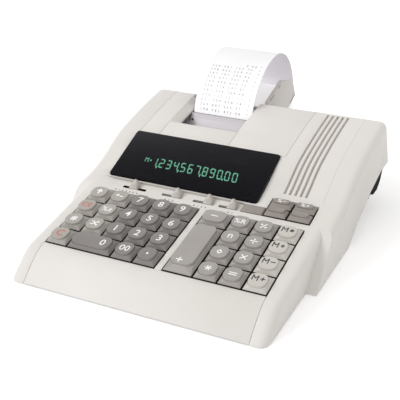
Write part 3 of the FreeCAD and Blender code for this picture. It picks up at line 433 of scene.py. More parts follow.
crease_x = 0.0934
crease_front = -0.031
crease_rear = 0.0835
crease_left_run = 0.0006
crease_right_run = 0.00025
crease_rise = 0.00012
crease_sink = 0.0001
crease = block("crease", (crease_x - crease_left_run, crease_front, 0.0),
               (crease_x + crease_right_run, crease_rear, 0.001))
slice_across(crease, crease_front, crease_rear, 24)
for vertex in crease.data.vertices:
    skin = skin_height(crease_x, vertex.co.y)
    if vertex.co.z < 0.0005:
        vertex.co.z = skin - crease_sink
    else:
        vertex.co.x = crease_x
        vertex.co.z = skin + crease_rise
edit_all(crease, (bpy.ops.mesh.remove_doubles, {"threshold": 0.00001}))
shade(crease, 20.0)
crease_line = finish_material("shade along the crease", (210, 206, 201), (202, 198, 193), 0.5)
dress(crease, crease_line, "frame", "case_plastic")

foot_rubber = finish_material("black foot rubber", (38, 37, 37), (52, 50, 48), 0.75)
cad_piece("rubber_feet", "feet", foot_rubber, "frame", "feet_rubber", 0.0004)


# Printer cover
# One moulded piece in the case's plastic, with a sunken paper channel and a barrel at its rear edge.
# It swings up on two pins to reach the ribbon and the paper.

cover_shell = cad_piece("printer_cover", "cover_shell", case_plastic, "cover", "case_plastic", 0.00025)
cover_low, cover_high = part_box("printer_cover")
# Painted shade: the walls on each side of the gap at the cover's right are painted dark for the shade in the
# gap
paint(cover_shell, gap_shade, lambda face: face.center.x > cover_high.x - 0.0006 and face.normal.x > 0.1)
paint(case_shell, gap_shade, lambda face: cover_high.x < face.center.x < cover_high.x + 0.0008
      and face.normal.x < -0.1 and cover_low.y < face.center.y < cover_high.y)


# Keys
# Each cap is moulded in one piece: a square skirt, flanks that rise to a raised dished pad, and a stem below.
# Its sign is moulded through in a second colour. Painted shade darkens its skirt in the gaps and rings the
# foot of its pad.

key_joint = next(joint for joint in frame["joints"] if joint["name"] == "key_0_press")
key_slope = math.atan2(key_joint["axis"][1], -key_joint["axis"][2])
to_slope = Matrix.Rotation(-key_slope, 4, "X")
from_slope = Matrix.Rotation(key_slope, 4, "X")
skirt_drop = 0.0032
skirt_edge = 0.0004
skirt_draft = 0.00035
stem_drop = 0.0116
stem_half = 0.0025
cap_top = 0.0053
upper_cap_top = 0.0042
cap_side_inset = 0.0024
pad_foot = 0.66
dish_depth = 0.0004
key_spacing = 0.019
row_spacing = 0.0195
millimetre = 0.001


def slope_box(node):
    """A node's corners in the keyboard's own directions: across, up the slope, and square to it."""
    points = [to_slope @ vertex.co for vertex in frame["nodes"][node].data.vertices]
    low = Vector([min(point[axis] for point in points) for axis in range(3)])
    high = Vector([max(point[axis] for point in points) for axis in range(3)])
    return low, high


def pick(piece, kind, test):
    """In edit mode with nothing else selected, selects the faces, edges or vertices that pass a test."""
    only(piece)
    bpy.ops.object.mode_set(mode="EDIT")
    bpy.ops.mesh.select_mode(type=kind)
    bpy.ops.mesh.select_all(action="DESELECT")
    mesh = bmesh.from_edit_mesh(piece.data)
    parts = {"FACE": mesh.faces, "EDGE": mesh.edges, "VERT": mesh.verts}[kind]
    for part in parts:
        if test(part):
            part.select_set(True)
    mesh.select_flush_mode()
    bmesh.update_edit_mesh(piece.data)


def round_corners(piece, radius, *lines):
    """Rounds the upright edges of a block that stand on lines across it, one line after the other."""
    for line in lines:
        pick(piece, "EDGE", lambda edge: all(abs(v.co.y - line) < 0.0001 for v in edge.verts)
             and abs(edge.verts[0].co.z - edge.verts[1].co.z) > 0.0005)
        bpy.ops.mesh.bevel(offset=radius, segments=8, affect="EDGES", profile=0.5)
        bpy.ops.object.mode_set(mode="OBJECT")


def key_mesh(name, width, depth, height, corner, pad_front, pad_rear):
    """A key cap about its own middle, with its skirt's edge at height 0."""
    half_x = width / 2
    half_s = depth / 2
    shoulder = pad_foot * height
    ledge = 0.0002
    spread = skirt_draft + 0.0001
    taper = 0.0002
    cap_half = half_x - cap_side_inset
    front_line = -half_s + pad_front
    rear_line = half_s - pad_rear
    pad_depth = rear_line - front_line
    skirt = block(name, (-half_x, -half_s, -skirt_drop), (half_x, half_s, skirt_edge))
    pick(skirt, "FACE", lambda face: face.normal.z > 0.9)
    bpy.ops.transform.resize(value=(1.0 - skirt_draft / half_x, 1.0 - skirt_draft / half_s, 1.0))
    bpy.ops.object.mode_set(mode="OBJECT")
    # The flanks are a block with round corners whose foot is drawn into square ones and spread to the skirt
    flanks = block("flanks", (-cap_half - ledge, front_line - ledge, skirt_edge - 0.0002),
                   (cap_half + ledge, rear_line + ledge, shoulder))
    round_corners(flanks, corner, front_line - ledge, rear_line + ledge)
    for side in (-1, 1):
        for line, inward in ((front_line - ledge, 1), (rear_line + ledge, -1)):
            edge_x = side * (cap_half + ledge)
            pick(flanks, "VERT", lambda vertex: vertex.co.z < shoulder - 0.0001
                 and (edge_x - vertex.co.x) * side < corner + 0.00001
                 and (vertex.co.y - line) * inward < corner + 0.00001)
            bpy.ops.transform.resize(value=(0.0, 0.0, 1.0), center_override=(edge_x, line, 0.0))
            bpy.ops.object.mode_set(mode="OBJECT")
    pick(flanks, "VERT", lambda vertex: vertex.co.z < shoulder - 0.0001)
    bpy.ops.transform.resize(value=((half_x - spread) / (cap_half + ledge),
                                    (half_s - spread) / (pad_depth / 2 + ledge), 1.0))
    bpy.ops.transform.translate(value=(0.0, -(front_line + rear_line) / 2, 0.0))
    bpy.ops.object.mode_set(mode="OBJECT")
    edit_all(flanks, (bpy.ops.mesh.remove_doubles, {"threshold": 0.000002}))
    cut_with(skirt, flanks, "UNION")
    pad = block("pad", (-cap_half, front_line, shoulder - 0.0004), (cap_half, rear_line, height))
    round_corners(pad, corner, front_line, rear_line)
    pick(pad, "VERT", lambda vertex: vertex.co.z > height - 0.0001)
    bpy.ops.transform.resize(value=(1.0 - taper / cap_half, 1.0 - 2 * taper / pad_depth, 1.0))
    bpy.ops.object.mode_set(mode="OBJECT")
    cut_with(skirt, pad, "UNION")
    stems = [(0.0, 0.0)]
    if width > 1.5 * key_spacing:
        stems = [(-key_spacing / 2, 0.0), (key_spacing / 2, 0.0)]
    elif depth > 1.5 * row_spacing:
        stems = [(0.0, -row_spacing), (0.0, row_spacing)]
    for x, s in stems:
        cut_with(skirt, block("stem", (x - stem_half, s - stem_half, -stem_drop),
                              (x + stem_half, s + stem_half, -0.001)), "UNION")
    dish_radius = (cap_half ** 2 + dish_depth ** 2) / (2 * dish_depth)
    facet = 0.0012
    bpy.ops.mesh.primitive_cylinder_add(
        vertices=int(2 * math.pi * dish_radius / facet), radius=dish_radius, depth=depth * 2,
        location=(0.0, 0.0, height + dish_radius - dish_depth), rotation=(math.radians(90.0), 0.0, 0.0))
    cut_with(skirt, bpy.context.active_object)
    soften(skirt, 0.0003, 3)
    shade(skirt, 40.0)
    return skirt


def lettering(name, text, size, place, thickness=0.0001, spacing=1.0, heavy=0.006):
    """Text as a thin raised mesh, flat about its own middle."""
    bpy.ops.object.text_add(location=(0.0, 0.0, 0.0))
    sign = bpy.context.active_object
    sign.name = name
    sign.data.body = text
    sign.data.size = size
    sign.data.align_x = "CENTER"
    sign.data.align_y = "CENTER"
    sign.data.extrude = thickness / 2
    sign.data.offset = size * heavy
    sign.data.space_character = spacing
    sign.data.resolution_u = 3
    bpy.ops.object.convert(target="MESH")
    sign = bpy.context.active_object
    middle = sum((Vector(corner) for corner in sign.bound_box), Vector()) / 8
    sign.data.transform(Matrix.Translation(Vector(place) - middle))
    return sign


def bar_between(start, end, reach, sides, radius, twist, height):
    """A thin flat bar between two points, from a twisted disc of a few sides whose halves are drawn apart."""
    bpy.ops.mesh.primitive_cylinder_add(vertices=sides, radius=radius, depth=0.0001,
                                        rotation=(0.0, 0.0, twist))
    bar = bpy.context.active_object
    bpy.ops.object.transform_apply()
    if reach:
        pick(bar, "VERT", lambda vertex: vertex.co.x > 0.00001)
        bpy.ops.transform.translate(value=(reach, 0.0, 0.0))
        bpy.ops.mesh.select_all(action="INVERT")
        bpy.ops.transform.translate(value=(-reach, 0.0, 0.0))
        bpy.ops.object.mode_set(mode="OBJECT")
    turn = math.atan2(end.y - start.y, end.x - start.x)
    middle = (start + end) / 2
    bar.data.transform(Matrix.Translation((middle.x, middle.y, height)) @ Matrix.Rotation(turn, 4, "Z"))
    return bar


def joined(pieces, name):
    """Several meshes as one."""
    bpy.ops.object.select_all(action="DESELECT")
    for piece in pieces:
        piece.select_set(True)
    bpy.context.view_layer.objects.active = pieces[0]
    bpy.ops.object.join()
    pieces[0].name = name
    return pieces[0]


def fan(count, length):
    """Strokes through one point, at even angles."""
    lines = []
    for number in range(count):
        x = length * math.cos(math.pi * number / count)
        y = length * math.sin(math.pi * number / count)
        lines.append((-x, -y, x, y))
    return lines


# Drawn signs: strokes from point to point in millimetres about the sign's middle
drawn_signs = {
    "plus": [(-2.4, 0.0, 2.4, 0.0), (0.0, -2.4, 0.0, 2.4)],
    "minus": [(-2.6, 0.0, 2.6, 0.0)],
    "equals": [(-2.7, -1.0, 2.7, -1.0), (-2.7, 1.0, 2.7, 1.0)],
    "times": [(-2.1, -2.1, 2.1, 2.1), (-2.1, 2.1, 2.1, -2.1)],
    "divide": [(-2.7, 0.0, 2.7, 0.0), (0.0, 2.0, 0.0, 2.0), (0.0, -2.0, 0.0, -2.0)],
    "diamond": [(-1.7, 0.0, 0.0, 2.1), (0.0, 2.1, 1.7, 0.0), (1.7, 0.0, 0.0, -2.1), (0.0, -2.1, -1.7, 0.0)],
    "star": fan(3, 2.4),
    "point": [(0.0, -0.2, 0.0, 0.2)],
    "up": [(0.0, -2.6, 0.0, 2.6), (0.0, 2.6, -1.8, 0.6), (0.0, 2.6, 1.8, 0.6)],
    "number": [(-1.4, -2.6, -0.4, 2.6), (0.5, -2.6, 1.5, 2.6), (-2.4, 1.0, 2.4, 1.0),
               (-2.5, -1.0, 2.3, -1.0)],
    "exchange": [(-3.0, -1.7, -1.5, -1.7), (-1.5, -1.7, 1.5, 1.7), (1.5, 1.7, 3.0, 1.7),
                 (-3.0, 1.7, -1.5, 1.7), (-1.5, 1.7, 1.5, -1.7), (1.5, -1.7, 3.0, -1.7),
                 (3.0, 1.7, 2.1, 2.5), (3.0, -1.7, 2.1, -2.5)],
    "sign": [(-3.1, 0.4, -0.3, 0.4), (-1.7, -1.0, -1.7, 1.8), (0.8, -0.6, 3.2, -0.6)],
    "memory": [(-1.9, -2.5, -1.9, 2.5), (-1.9, 2.5, 0.0, -0.3), (0.0, -0.3, 1.9, 2.5),
               (1.9, 2.5, 1.9, -2.5)],
    "percent": [(-1.7, -2.6, 1.7, 2.6), (-1.9, 1.5, -1.9, 1.5), (1.9, -1.5, 1.9, -1.5)],
}
stroke_width = 0.0009
wide_strokes = {"point": 0.0017, "up": 0.0013, "memory": 0.0008}
dots = {"divide": 0.0014, "percent": 0.0017}


def drawn(kind, middle_x, middle_s, height, size=1.0):
    """A drawn sign as one mesh of strokes with round ends."""
    bars = []
    for x0, s0, x1, s1 in drawn_signs[kind]:
        width = dots[kind] if (x0, s0) == (x1, s1) else wide_strokes.get(kind, stroke_width)
        scale = size * millimetre
        start = Vector((middle_x + x0 * scale, middle_s + s0 * scale, 0.0))
        end = Vector((middle_x + x1 * scale, middle_s + s1 * scale, 0.0))
        bars.append(bar_between(start, end, (end - start).length / 2, 16, width / 2, math.pi / 16, height))
    return joined(bars, kind)


# Each kind of key: its plastic and the painted shade round its pads, both with their aged colour
key_tones = {
    "number": ("number key grey", (135, 130, 127), (127, 122, 119), (98, 93, 90), (90, 86, 83)),
    "function": ("function key grey", (165, 160, 156), (157, 152, 148), (122, 117, 113), (112, 108, 104)),
    "pale": ("pale function key grey", (173, 168, 162), (164, 160, 154), (130, 125, 120), (120, 116, 111)),
    "memory": ("memory key off-white", (204, 200, 193), (196, 192, 185), (172, 168, 161), (164, 160, 153)),
    "upper": ("upper key brown grey", (148, 140, 134), (140, 132, 126), (108, 102, 97), (98, 93, 88)),
}
key_plastics = {}
pad_shades = {}
for kind, (plastic_name, color, aged, shade_color, shade_aged) in key_tones.items():
    key_plastics[kind] = finish_material(plastic_name, color, aged, 0.36, 0.0003, 0.00002, 0.02)
    pad_shades[kind] = finish_material("dust round the %s pads" % kind, shade_color, shade_aged, 0.7)
skirt_shade = finish_material("painted shade on the skirts", (40, 38, 37), (30, 28, 28), 0.8, 0.0005, 0.00004, 0.01)
white_sign = finish_material("white sign plastic", (252, 252, 252), (242, 242, 240), 0.4, patch_size=0.004)
black_sign = finish_material("black sign plastic", (44, 42, 42), (58, 56, 55), 0.4, patch_size=0.004)
red_sign = finish_material("red sign plastic", (206, 106, 88), (197, 98, 80), 0.4, patch_size=0.004)

# The keys of each kind, with their signs: letters, or a drawn sign in brackets
key_signs = [
    ("pale", red_sign, {"clear": "C", "clear_entry": "CE"}),
    ("pale", white_sign, {"number": "[number]", "feed": "[up]", "exchange": "[exchange]", "markup": "%±",
                          "sign": "[sign]"}),
    ("number", white_sign, {"double_zero": "00", "point": "[point]"}),
    ("function", white_sign, {"total": "[star]", "subtotal": "[diamond]", "count": "n", "rate": "%R",
                              "equals": "[equals]", "times": "[times]", "divide": "[divide]",
                              "percent": "[percent]", "plus": "[plus]", "minus": "[minus]"}),
    ("memory", black_sign, {"memory_plus": "[plus]", "memory_minus": "[minus]",
                            "memory_subtotal": "[diamond]", "memory_total": "[star]"}),
    ("upper", white_sign, {"cost": "", "sell": "", "tax_minus": "%−", "tax_plus": "%+"}),
    ("number", white_sign, {digit: digit for digit in "0123456789"}),
]
key_plan = [("key_" + key, text, kind, sign_plastic) for kind, sign_plastic, texts in key_signs
            for key, text in texts.items()]
letter_sizes = {"00": 0.0086, "%−": 0.0058, "%+": 0.0058, 1: 0.0094, 2: 0.0074}
memory_letter_x = -0.0025
memory_mark_x = 0.0030
sign_rise = 0.00003
# By kind or key: how far the pad stands back from the skirt's front and rear, and the sign from its middle
plain_place = (0.0016, 0.0034, 0.0, 0.0)
pad_places = {"upper": (0.0034, 0.0016, 0.0, 0.0), "memory": (0.0016, 0.0034, 0.0, 0.0013),
              "key_plus": (0.0060, 0.0034, -0.0020, -0.0201),
              "key_0": (0.0016, 0.0034, key_spacing / 2, 0.0)}

key_models = {}
for node, text, kind, sign_plastic in key_plan:
    low, high = slope_box(node)
    width = high.x - low.x
    depth = high.y - low.y
    height = upper_cap_top if kind == "upper" else cap_top
    corner = 0.0026 if kind == "upper" else 0.0050
    pad_front, pad_rear, sign_x, sign_s = pad_places.get(node, pad_places.get(kind, plain_place))
    sign_s += (pad_front - pad_rear) / 2
    size_name = "%.1f_%.1f" % (width / millimetre, depth / millimetre)
    if size_name not in key_models:
        key_models[size_name] = key_mesh("key_model_" + size_name, width, depth, height, corner, pad_front,
                                         pad_rear)
    cap = bpy.data.objects.new(node + "_cap", key_models[size_name].data.copy())
    bpy.context.scene.collection.objects.link(cap)
    cap.data.materials.append(key_plastics[kind])
    # Painted shade: the skirt below its edge is painted dark for the shade in the gaps, and a band round the
    # pad's foot for the shade under the pad
    paint(cap, skirt_shade, lambda face: face.center.z < skirt_edge - 0.00012)
    paint(cap, pad_shades[kind], lambda face: abs(face.center.z - pad_foot * height) < 0.00035)
    top = height - dish_depth + sign_rise
    signs = []
    if kind == "memory":
        signs.append(drawn("memory", memory_letter_x, sign_s, top))
        signs.append(drawn(text[1:-1], memory_mark_x, sign_s, top, 0.62))
    elif text.startswith("["):
        signs.append(drawn(text[1:-1], sign_x, sign_s, top))
    elif text:
        size = letter_sizes.get(text, letter_sizes[len(text)])
        signs.append(lettering(node + "_letter", text, size, (sign_x, sign_s, top)))
    cap_half = width / 2 - cap_side_inset
    for sign in signs:
        sign.data.materials.clear()
        sign.data.materials.append(sign_plastic)
        for vertex in sign.data.vertices:
            vertex.co.z += dish_depth * (vertex.co.x / cap_half) ** 2
    if signs:
        cap = joined([cap] + signs, node + "_cap")
    middle = Vector(((low.x + high.x) / 2, (low.y + high.y) / 2, high.z - height))
    cap.data.transform(from_slope @ Matrix.Translation(middle))
    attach(cap, node + "_body")
    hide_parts(node)
for model in key_models.values():
    bpy.data.objects.remove(model)

cad_piece("key_shift", "flat_key", key_plastics["upper"], "key_shift_body", "function_key", 0.00025)


# Slide switches
# Four knobs of clear grey plastic slide in slots in the strip in front of the display.
# Each has a low wide front and a tip. Its scale is printed in small numbers on the land beside the keys.

switch_plastic = finish_material("switch knob plastic", (186, 180, 174), (172, 166, 160), 0.25, 0.0003,
                                 0.00001, 0.01)
knob_foot = 0.0460
foot_height = 0.0008
knob_stem_half_x = 0.0012
knob_stem_half_s = 0.0008
# Each level of a knob: its rise before scaling, its share of the last level's width and depth, its way back
knob_levels = [(0.0009, 0.98, 0.96, 0.0), (0.0012, 0.80, 0.78, 0.0008), (0.0018, 0.66, 0.55, 0.0011),
               (0.0014, 0.62, 0.60, 0.0003), (0.0006, 0.55, 0.55, 0.0001)]
for number in range(1, 5):
    node = "switch_knob_%d" % number
    low, high = slope_box(node)
    middle_x = (low.x + high.x) / 2
    stem_s = (low.y + high.y) / 2
    knob = block("slide_knob_%d" % number, (low.x, low.y + 0.0004, knob_foot),
                 (high.x, high.y - 0.0010, knob_foot + foot_height))
    pick(knob, "FACE", lambda face: face.normal.z > 0.9)
    share = (high.z - knob_foot - foot_height) / sum(level[0] for level in knob_levels)
    for rise, narrow, shallow, rearward in knob_levels:
        bpy.ops.mesh.extrude_region_move(TRANSFORM_OT_translate={"value": (0.0, 0.0, rise * share)})
        bpy.ops.transform.resize(value=(narrow, shallow, 1.0))
        bpy.ops.transform.translate(value=(0.0, rearward, 0.0))
    bpy.ops.object.mode_set(mode="OBJECT")
    stem = block("stem", (middle_x - knob_stem_half_x, stem_s - knob_stem_half_s, low.z),
                 (middle_x + knob_stem_half_x, stem_s + knob_stem_half_s, knob_foot + 0.0004))
    cut_with(knob, stem, "UNION")
    soften(knob, 0.00035)
    knob.data.transform(from_slope)
    shade(knob, 60.0)
    dress(knob, switch_plastic, "switch_%d" % number, "switch_plastic", node)

scale_ink = finish_material("grey scale print", (64, 60, 59), (82, 78, 76), 0.7, patch_size=0.002)
scale_y = -0.0632
scale_z = skin_height(-0.0186, scale_y) + 0.00004
printed_scales = []
for text, middle_x in (("0 1 2 3 4 5 6", -0.0649), ("0 1 2", -0.0253), ("0 1 2 3", 0.0022), ("0 1", 0.0284)):
    scale_print = lettering("scale", text, 0.0026, (0.0, 0.0, 0.0), 0.00002, 1.5, 0.02)
    scale_print.data.transform(Matrix.Translation((middle_x, scale_y, scale_z)) @ from_slope)
    printed_scales.append(scale_print)
dress(joined(printed_scales, "switch_scales"), scale_ink, "frame", "case_plastic")


# Display
# A smoked acrylic window with a dull coat lies in the case, so it mirrors less than plain acrylic would.
# Behind it stands a vacuum tube whose slanted segments glow green.

window_material = new_material("smoked acrylic window", {
    "Base Color": linear(62, 60, 70), "Roughness": 0.05, "IOR": 1.22, "Specular Tint": (0.80, 0.80, 1.0, 1.0),
    "Transmission Weight": 1.0})[0]
cad_piece("display_window", "window", window_material, "frame", "smoked_window", 0.0005)

tube_glass = finish_material("dark tube glass", (14, 17, 17), (10, 13, 13), 0.12, 0.002, 0.000001, 0.03)
cad_piece("display_tube", "tube", tube_glass, "frame", "tube_glass", 0.0005)

tube_tilt = math.radians(60.0)
tube_half_height = 0.010
tube_low, tube_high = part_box("display_tube")
tube_face_y = tube_low.y + tube_half_height * math.cos(tube_tilt)
tube_face_z = tube_high.z - tube_half_height * math.sin(tube_tilt)
digit_drop = 0.0006


def glow_material(name, color, strength):
    """Phosphor: it shines in fine speckles of two strengths of one colour."""
    dim = linear(*[channel * 0.86 for channel in color])
    full = linear(*color)
    material, tree, shader = new_material(name, {"Base Color": linear(20, 40, 30), "Roughness": 0.6,
                                                 "Emission Color": full, "Emission Strength": strength})
    place = add_node(tree, "ShaderNodeTexCoord")["Object"]
    speckle = add_node(tree, "ShaderNodeTexNoise", {"Vector": place, "Scale": 900.0})["Fac"]
    feed(tree, shader, {"Emission Color": blend_colors(tree, speckle, dim, full)})
    return material


digit_pitch = 0.00675
digit_first_x = -0.0654
half_w = 0.0018
half_h = 0.0033
digit_slant = math.tan(math.radians(9.0))
segment_width = 0.00088
segment_gap = 0.00012
dot_back = 0.0002
dot_reach = 0.0009
# The seven strokes of a digit, from end to end in halves of its width and height, and those that each lights
segment_ends = {"a": (-1, 1, 1, 1), "b": (1, 1, 1, 0), "c": (1, 0, 1, -1), "d": (-1, -1, 1, -1),
                "e": (-1, 0, -1, -1), "f": (-1, 1, -1, 0), "g": (-1, 0, 1, 0)}
lit_segments = {"0": "abcdef", "1": "bc", "2": "abdeg", "3": "abcdg", "4": "bcfg", "5": "acdfg",
                "6": "acdefg", "7": "abc", "8": "abcdefg", "9": "abcdfg"}
# The memory sign beside the number: strokes from point to point in millimetres
memory_lines = ((-1.6, -1.1, -1.6, 2.7), (1.3, -1.1, 1.3, 2.7), (-1.6, 2.7, -0.15, 1.2),
                (-0.15, 1.2, 1.3, 2.7), (2.6, 0.9, 4.6, 0.9), (3.6, -0.1, 3.6, 1.9))


def segment(x0, y0, x1, y1, width):
    """One lit segment: a flat hexagon a little short of two points, and wider at the first."""
    start = Vector((x0, y0, 0.0))
    end = Vector((x1, y1, 0.0))
    reach = (end - start).length / 2 - width / 2 - segment_gap
    return bar_between(start, end, reach, 6, width * 0.577, 0.0, 0.0)


def readout(name, width, material, rise):
    """The number on the tube's face, its memory sign and its points, as one mesh of segments."""
    bars = []
    place_x = digit_first_x
    for sign in "1,234,567,890.00":
        if sign in ",.":
            dot_x = place_x - digit_pitch / 2 - dot_back
            bars.append(segment(dot_x, -half_h - dot_reach, dot_x, -half_h + dot_reach, width * 1.4))
            if sign == ",":
                bars.append(segment(dot_x - 0.0003, -half_h - 0.0016, dot_x + 0.0001, -half_h + 0.0002,
                                    width * 0.8))
            continue
        for letter in lit_segments[sign]:
            x0, v0, x1, v1 = segment_ends[letter]
            bars.append(segment(place_x + x0 * half_w, v0 * half_h,
                                place_x + x1 * half_w, v1 * half_h, width))
        place_x += digit_pitch
    memory_x = digit_first_x - 0.0077
    for x0, v0, x1, v1 in memory_lines:
        bars.append(segment(memory_x + x0 * millimetre, v0 * millimetre, memory_x + x1 * millimetre,
                            v1 * millimetre, width * 0.7))
    digits = joined(bars, name)
    slant = Matrix.Identity(4)
    slant[0][1] = digit_slant
    on_face = Matrix.Translation((0.0, tube_face_y, tube_face_z)) @ Matrix.Rotation(tube_tilt, 4, "X")
    digits.data.transform(on_face @ Matrix.Translation((0.0, -digit_drop, rise)) @ slant)
    dress(digits, material, "frame", "tube_glass")


digit_glow = glow_material("green phosphor", (140, 232, 168), 15.0)
halo_glow = glow_material("glow round the digits", (22, 100, 62), 4.0)
readout("digits", segment_width, digit_glow, 0.00012)
readout("digit_halo", segment_width * 1.9, halo_glow, 0.00004)


# Printer
# A plated steel frame carries the rubber platen, the print head on its rail and the ribbon cassette.
# The tear bar is a bright steel blade with a toothed edge, fixed by a screw at each end.

frame_steel = finish_material("plated frame steel", (168, 168, 164), (150, 150, 145), 0.34, 0.0008, 0.00001,
                              0.02, metallic=1.0)
cad_piece("printer_frame", "printer_plates", frame_steel, "frame", "frame_steel", 0.0002)
platen_rubber = finish_material("platen rubber", (40, 40, 41), (50, 50, 50), 0.6, 0.0002, 0.00002, 0.01)
cad_piece("platen", "platen_roller", platen_rubber, "platen_shaft", "platen_rubber", 0.0002)
head_metal = finish_material("dark head metal", (66, 66, 68), (54, 54, 56), 0.4, 0.0004, 0.00002, 0.01,
                             metallic=0.7)
cad_piece("print_head", "head_block", head_metal, "head", "head_metal", 0.0002)
black_plastic = finish_material("black plastic", (15, 14, 16), (22, 21, 22), 0.6, 0.0003, 0.00002, 0.02,
                                specular=0.02)


def weave_material(name, thread, gap, pitch, roughness):
    """Coarse woven cloth: two sets of threads at right angles, lighter where a thread stands up."""
    material, tree, shader = new_material(name, {"Roughness": roughness})
    place = add_node(tree, "ShaderNodeTexCoord")["Object"]
    band_at_scale_one = 0.314
    scale = band_at_scale_one / pitch
    bands = []
    for turn in (math.radians(45.0), math.radians(-45.0)):
        turned = add_node(tree, "ShaderNodeMapping", {"Vector": place, "Rotation": (0.0, 0.0, turn)})
        bands.append(add_node(tree, "ShaderNodeTexWave", {"Vector": turned[0], "Scale": scale})["Fac"])
    height = compute(tree, "MULTIPLY", *bands)
    bump = add_node(tree, "ShaderNodeBump", {"Distance": pitch * 0.2, "Height": height})
    feed(tree, shader, {"Base Color": blend_colors(tree, height, linear(*gap), linear(*thread)),
                        "Normal": bump["Normal"]})
    return material


ribbon_cloth = weave_material("woven ink ribbon", (74, 69, 72), (10, 9, 11), 0.0016, 0.8)
cassette = cad_piece("ribbon_cassette", "cassette", black_plastic, "frame", "black_plastic", 0.0002)
paint(cassette, ribbon_cloth, lambda face: face.normal.z > 0.5 or face.normal.y > 0.9)


def brushed_material(name, bright, dark, roughness, metallic):
    """Rolled sheet metal with long fine streaks along X."""
    material, tree, shader = new_material(name, {"Roughness": roughness, "Metallic": metallic})
    place = add_node(tree, "ShaderNodeTexCoord")["Object"]
    stretch = add_node(tree, "ShaderNodeMapping", {"Vector": place, "Scale": (18.0, 900.0, 900.0)})
    streaks = add_node(tree, "ShaderNodeTexNoise", {"Vector": stretch[0], "Scale": 1.0, "Detail": 3.0})["Fac"]
    bump = add_node(tree, "ShaderNodeBump", {"Distance": 0.00002, "Height": streaks})
    feed(tree, shader, {"Base Color": blend_colors(tree, streaks, linear(*dark), linear(*bright)),
                        "Normal": bump["Normal"]})
    return material


tear_metal = brushed_material("tear bar steel", (226, 222, 226), (186, 182, 186), 0.45, 0.12)
edge_shade = finish_material("painted shade along the tear edge", (112, 108, 112), (90, 86, 90), 0.5, metallic=0.3)
tear_blade = cad_piece("tear_bar", "tear_blade", tear_metal, "frame", "tear_bar_metal", whole_faces=False)
tear_low, tear_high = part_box("tear_bar")
# Painted shade: the blade's top band is painted dark for the shade where the paper leaves it
paint(tear_blade, edge_shade, lambda face: face.center.z > tear_high.z - 0.0013)

tear_lean = math.radians(31.0)
screw_radius = 0.0011
screw_place = tear_low + Vector((0.0090, 0.0037, 0.0070))
bpy.ops.mesh.primitive_cylinder_add(vertices=24, radius=screw_radius, depth=0.0006)
screw = bpy.context.active_object
screw.name = "tear_bar_screw"
bpy.ops.object.transform_apply()
pick(screw, "FACE", lambda face: face.normal.z > 0.9)
bpy.ops.mesh.inset(thickness=0.00025)
bpy.ops.transform.translate(value=(0.0, 0.0, 0.00015))
bpy.ops.object.mode_set(mode="OBJECT")
cut_with(screw, block("screw_slot", (-0.0012, -0.00014, 0.0002), (0.0012, 0.00014, 0.0006)))
screw.data.transform(Matrix.Translation(screw_place) @ Matrix.Rotation(math.pi / 2 - tear_lean, 4, "X"))
dress(screw, head_metal, "frame", "tear_bar_metal")


# Paper
# Plain white roll paper. It comes off a roll at the rear, round the platen, up behind the tear bar, and
# curls over to fall behind the machine. The last lines of a sum stand on it in grey dots.

paper_material = finish_material("roll paper", (250, 250, 251), (245, 244, 246), 0.75, 0.0003, 0.00001, 0.03,
                                 specular=0.2)
# Painted light: the paper glows a little of its own, most on its lower parts, fading to none towards the top
# of the arch
paper_tree = paper_material.node_tree
paper_place = add_node(paper_tree, "ShaderNodeTexCoord")["Object"]
paper_height = add_node(paper_tree, "ShaderNodeSeparateXYZ", {0: paper_place})["Z"]
paper_painted_light = add_node(paper_tree, "ShaderNodeMapRange", {
    "Value": paper_height, "From Min": 0.080, "From Max": 0.112, "To Min": 0.27, "To Max": 0.0})["Result"]
feed(paper_tree, paper_tree.nodes["Principled BSDF"], {"Emission Color": white,
                                                       "Emission Strength": paper_painted_light})
paper_edge_shade = finish_material("painted shade on the cut edge of the paper", (196, 194, 198), (184, 182, 186), 0.8)
paper_inside = finish_material("shaded inner side of the paper", (238, 234, 240), (232, 228, 235), 0.8)
paper = cad_piece("paper_strip", "printed_paper", paper_material, "frame", "paper")
paper_low, paper_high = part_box("paper_strip")
arch_middle = Vector(((paper_low.x + paper_high.x) / 2, 0.118, 0.062))


def faces_in(face):
    """True for the inner side of the paper's arch."""
    outward = face.center - arch_middle
    return (abs(face.normal.x) < 0.3 and outward.z > 0.0
            and face.normal.y * outward.y + face.normal.z * outward.z < 0.0)


# Painted shade: the paper's thin side faces are painted grey so that its outline shows
paint(paper, paper_edge_shade, lambda face: abs(face.normal.x) > 0.7)
paint(paper, paper_inside, faces_in)
cad_piece("paper_roll", "roll_of_paper", paper_material, "roll", "paper")

print_ink = finish_material("grey print", (146, 142, 154), (172, 168, 178), 0.8, patch_size=0.002)
paper_surface = surface_of(paper)
far_out = 0.2
fan_steps = 360
outside = []
for step in range(fan_steps + 1):
    angle = math.radians(180.0 - 100.0 * step / fan_steps)
    direction = Vector((0.0, math.cos(angle), math.sin(angle)))
    place = paper_surface.ray_cast(arch_middle + direction * far_out, -direction)[0]
    if place and place.z > tear_high.z + 0.0002:
        outside.append(place)


def place_along(points, length):
    """The point and the direction at a length along a row of points."""
    walked = 0.0
    for start, end in zip(points, points[1:]):
        run = (end - start).length
        if walked + run >= length:
            return start + (end - start) * ((length - walked) / run), (end - start).normalized()
        walked += run
    return points[-1], (points[-1] - points[-2]).normalized()


